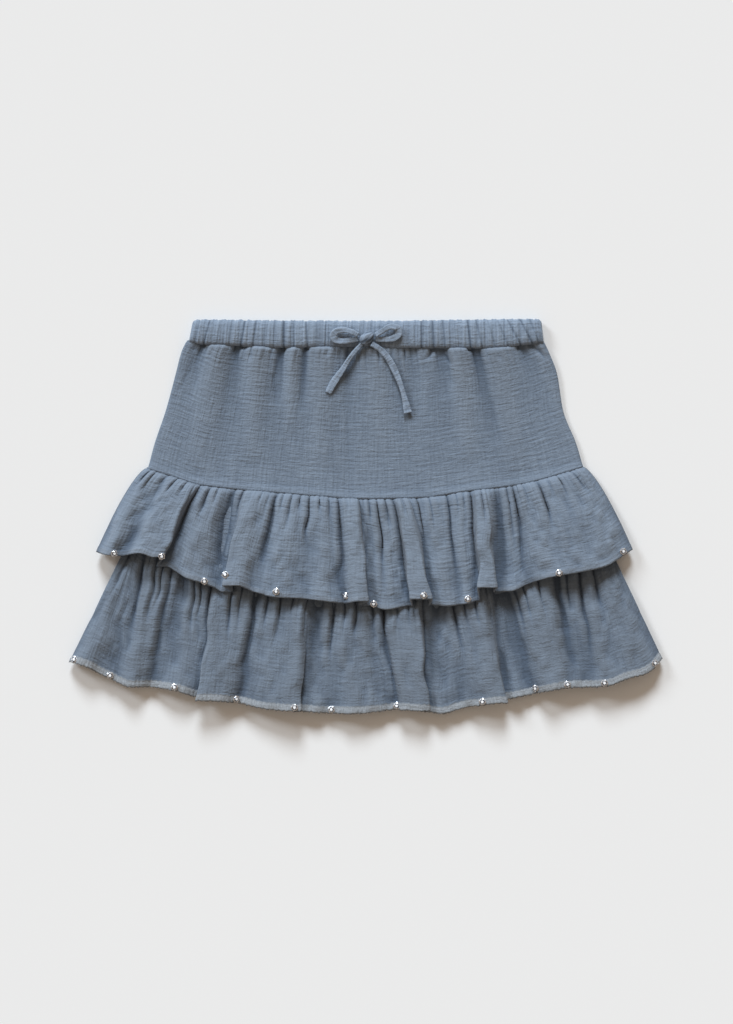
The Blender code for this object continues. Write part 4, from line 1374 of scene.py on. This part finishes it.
def makeLight(look):
    makeSun("key", look["key"], look["key place"], look)
    makeSun("side", look["side"], look["side place"], look)
    room = bpy.data.worlds.new("room")
    room.use_nodes = True
    room.node_tree.nodes["Background"].inputs["Color"].default_value = (*look["fill"], 1)
    bpy.context.scene.world = room
    bpy.context.scene.view_settings.view_transform = "Standard"


floorLook = {
    "size": 6,
    "height": -0.0002,  # just below the cloth, in metres
    "colour": (0.84, 0.84, 0.84),
}


def makeFloor(look):
    shader = Shader("paper")
    paper = shader.finish(Base_Color=toned(look["colour"]), Roughness=1.0, Specular_IOR_Level=0.0)
    bpy.ops.mesh.primitive_plane_add(size=look["size"], location=(0, 0, look["height"]))
    floor = bpy.context.object
    floor.name = "floor"
    floor.data.materials.append(paper)


makeCamera(view)
tieCloth = gauze("gauzeTie", gauzeLook)
for name, node, route, widths, farEnd, length in (
        ("loopLeft", "loop_left", leftLoop, loopWidths, "object", 0.045),
        ("loopRight", "loop_right", rightLoop, loopWidths, "object", 0.045),
        ("endLeft", "tail_left", leftEnd, leftWidths, "bare", 0.048),
        ("endRight", "tail_right", rightEnd, rightWidths, "bare", 0.065)):
    tie(name, node, route, widths, tieLook, tieCloth, length)
knot(knotLook, tieCloth)
print("tie made")

makeLight(lightLook)
makeFloor(floorLook)
print("stage made")

cloth = gauze("gauze", gauzeLook)
bandCloth = gauze("gauzeBand", gauzeLook)
firstCloth = gauze("gauzeFirst", gauzeLook)
secondCloth = gauze("gauzeSecond", gauzeLook)
stoneGlass = stoneFinishes()

firstSheet = frontRuffle(firstTier, ruffleLook)
thick = hemThickness(firstSheet, ruffleLook, firstTier["uneven"], 61)
piece = clothPiece("firstFront", "tier1_front", firstSheet, thick, firstCloth)
stones("firstStones", firstSheet, thick, firstStones, stoneLook, stoneGlass)

secondSheet = frontRuffle(secondTier, ruffleLook)
fray(secondSheet, secondTier["fray"], 63)
thick = hemThickness(secondSheet, ruffleLook, secondTier["uneven"], 65)
# Shadow of the first tier's hem, painted into the second tier's colour
paintedShadow = secondTier["shaded"] * coveredBy(secondSheet, firstSheet, secondTier["shade reach"])
piece = clothPiece("secondFront", "tier2_front", secondSheet, thick, secondCloth, paintedShadow)
stones("secondStones", secondSheet, thick, secondStones, stoneLook, stoneGlass)
print("ruffles made")

sheet = upperFront(panelLook)
# Shadow of the bow, painted into the panel's colour
paintedShadow = panelLook["shaded"] * besideTie(sheet[:, :, 0], sheet[:, :, 1], panelLook["shade reach"])
piece = clothPiece("upperFront", "upper_front", sheet, panelLook["thick"], cloth, paintedShadow)
stitches(sheet, stitchLook, panelLook["thick"])
piece = clothPiece("upperBack", "upper_back", upperBack(backLook), backLook["thick"], cloth)
sheet = basePanel(backLook["front start"], backLook, 71)
piece = clothPiece("basePanelFront", "base_front", sheet, backLook["base thick"], cloth)
sheet = basePanel(backLook["back start"], backLook, 73)
piece = clothPiece("basePanelBack", "base_back", sheet, backLook["base thick"], cloth)
piece = clothPiece("firstBack", "tier1_back", firstBack(backLook), backLook["thick"], firstCloth)
piece = clothPiece("secondBack", "tier2_back", secondBack(backLook), backLook["thick"], secondCloth)
print("panels made")

bottom = bandSplit + seamGap
piece = waistband("bandFront", "waistband_front", frontBandSection, bottom, False, bandLook, bandCloth, 41)
piece = waistband("bandBack", "waistband_back", backBandSection, bandSplit, True, bandLook, bandCloth, 43)
print("waistband made")
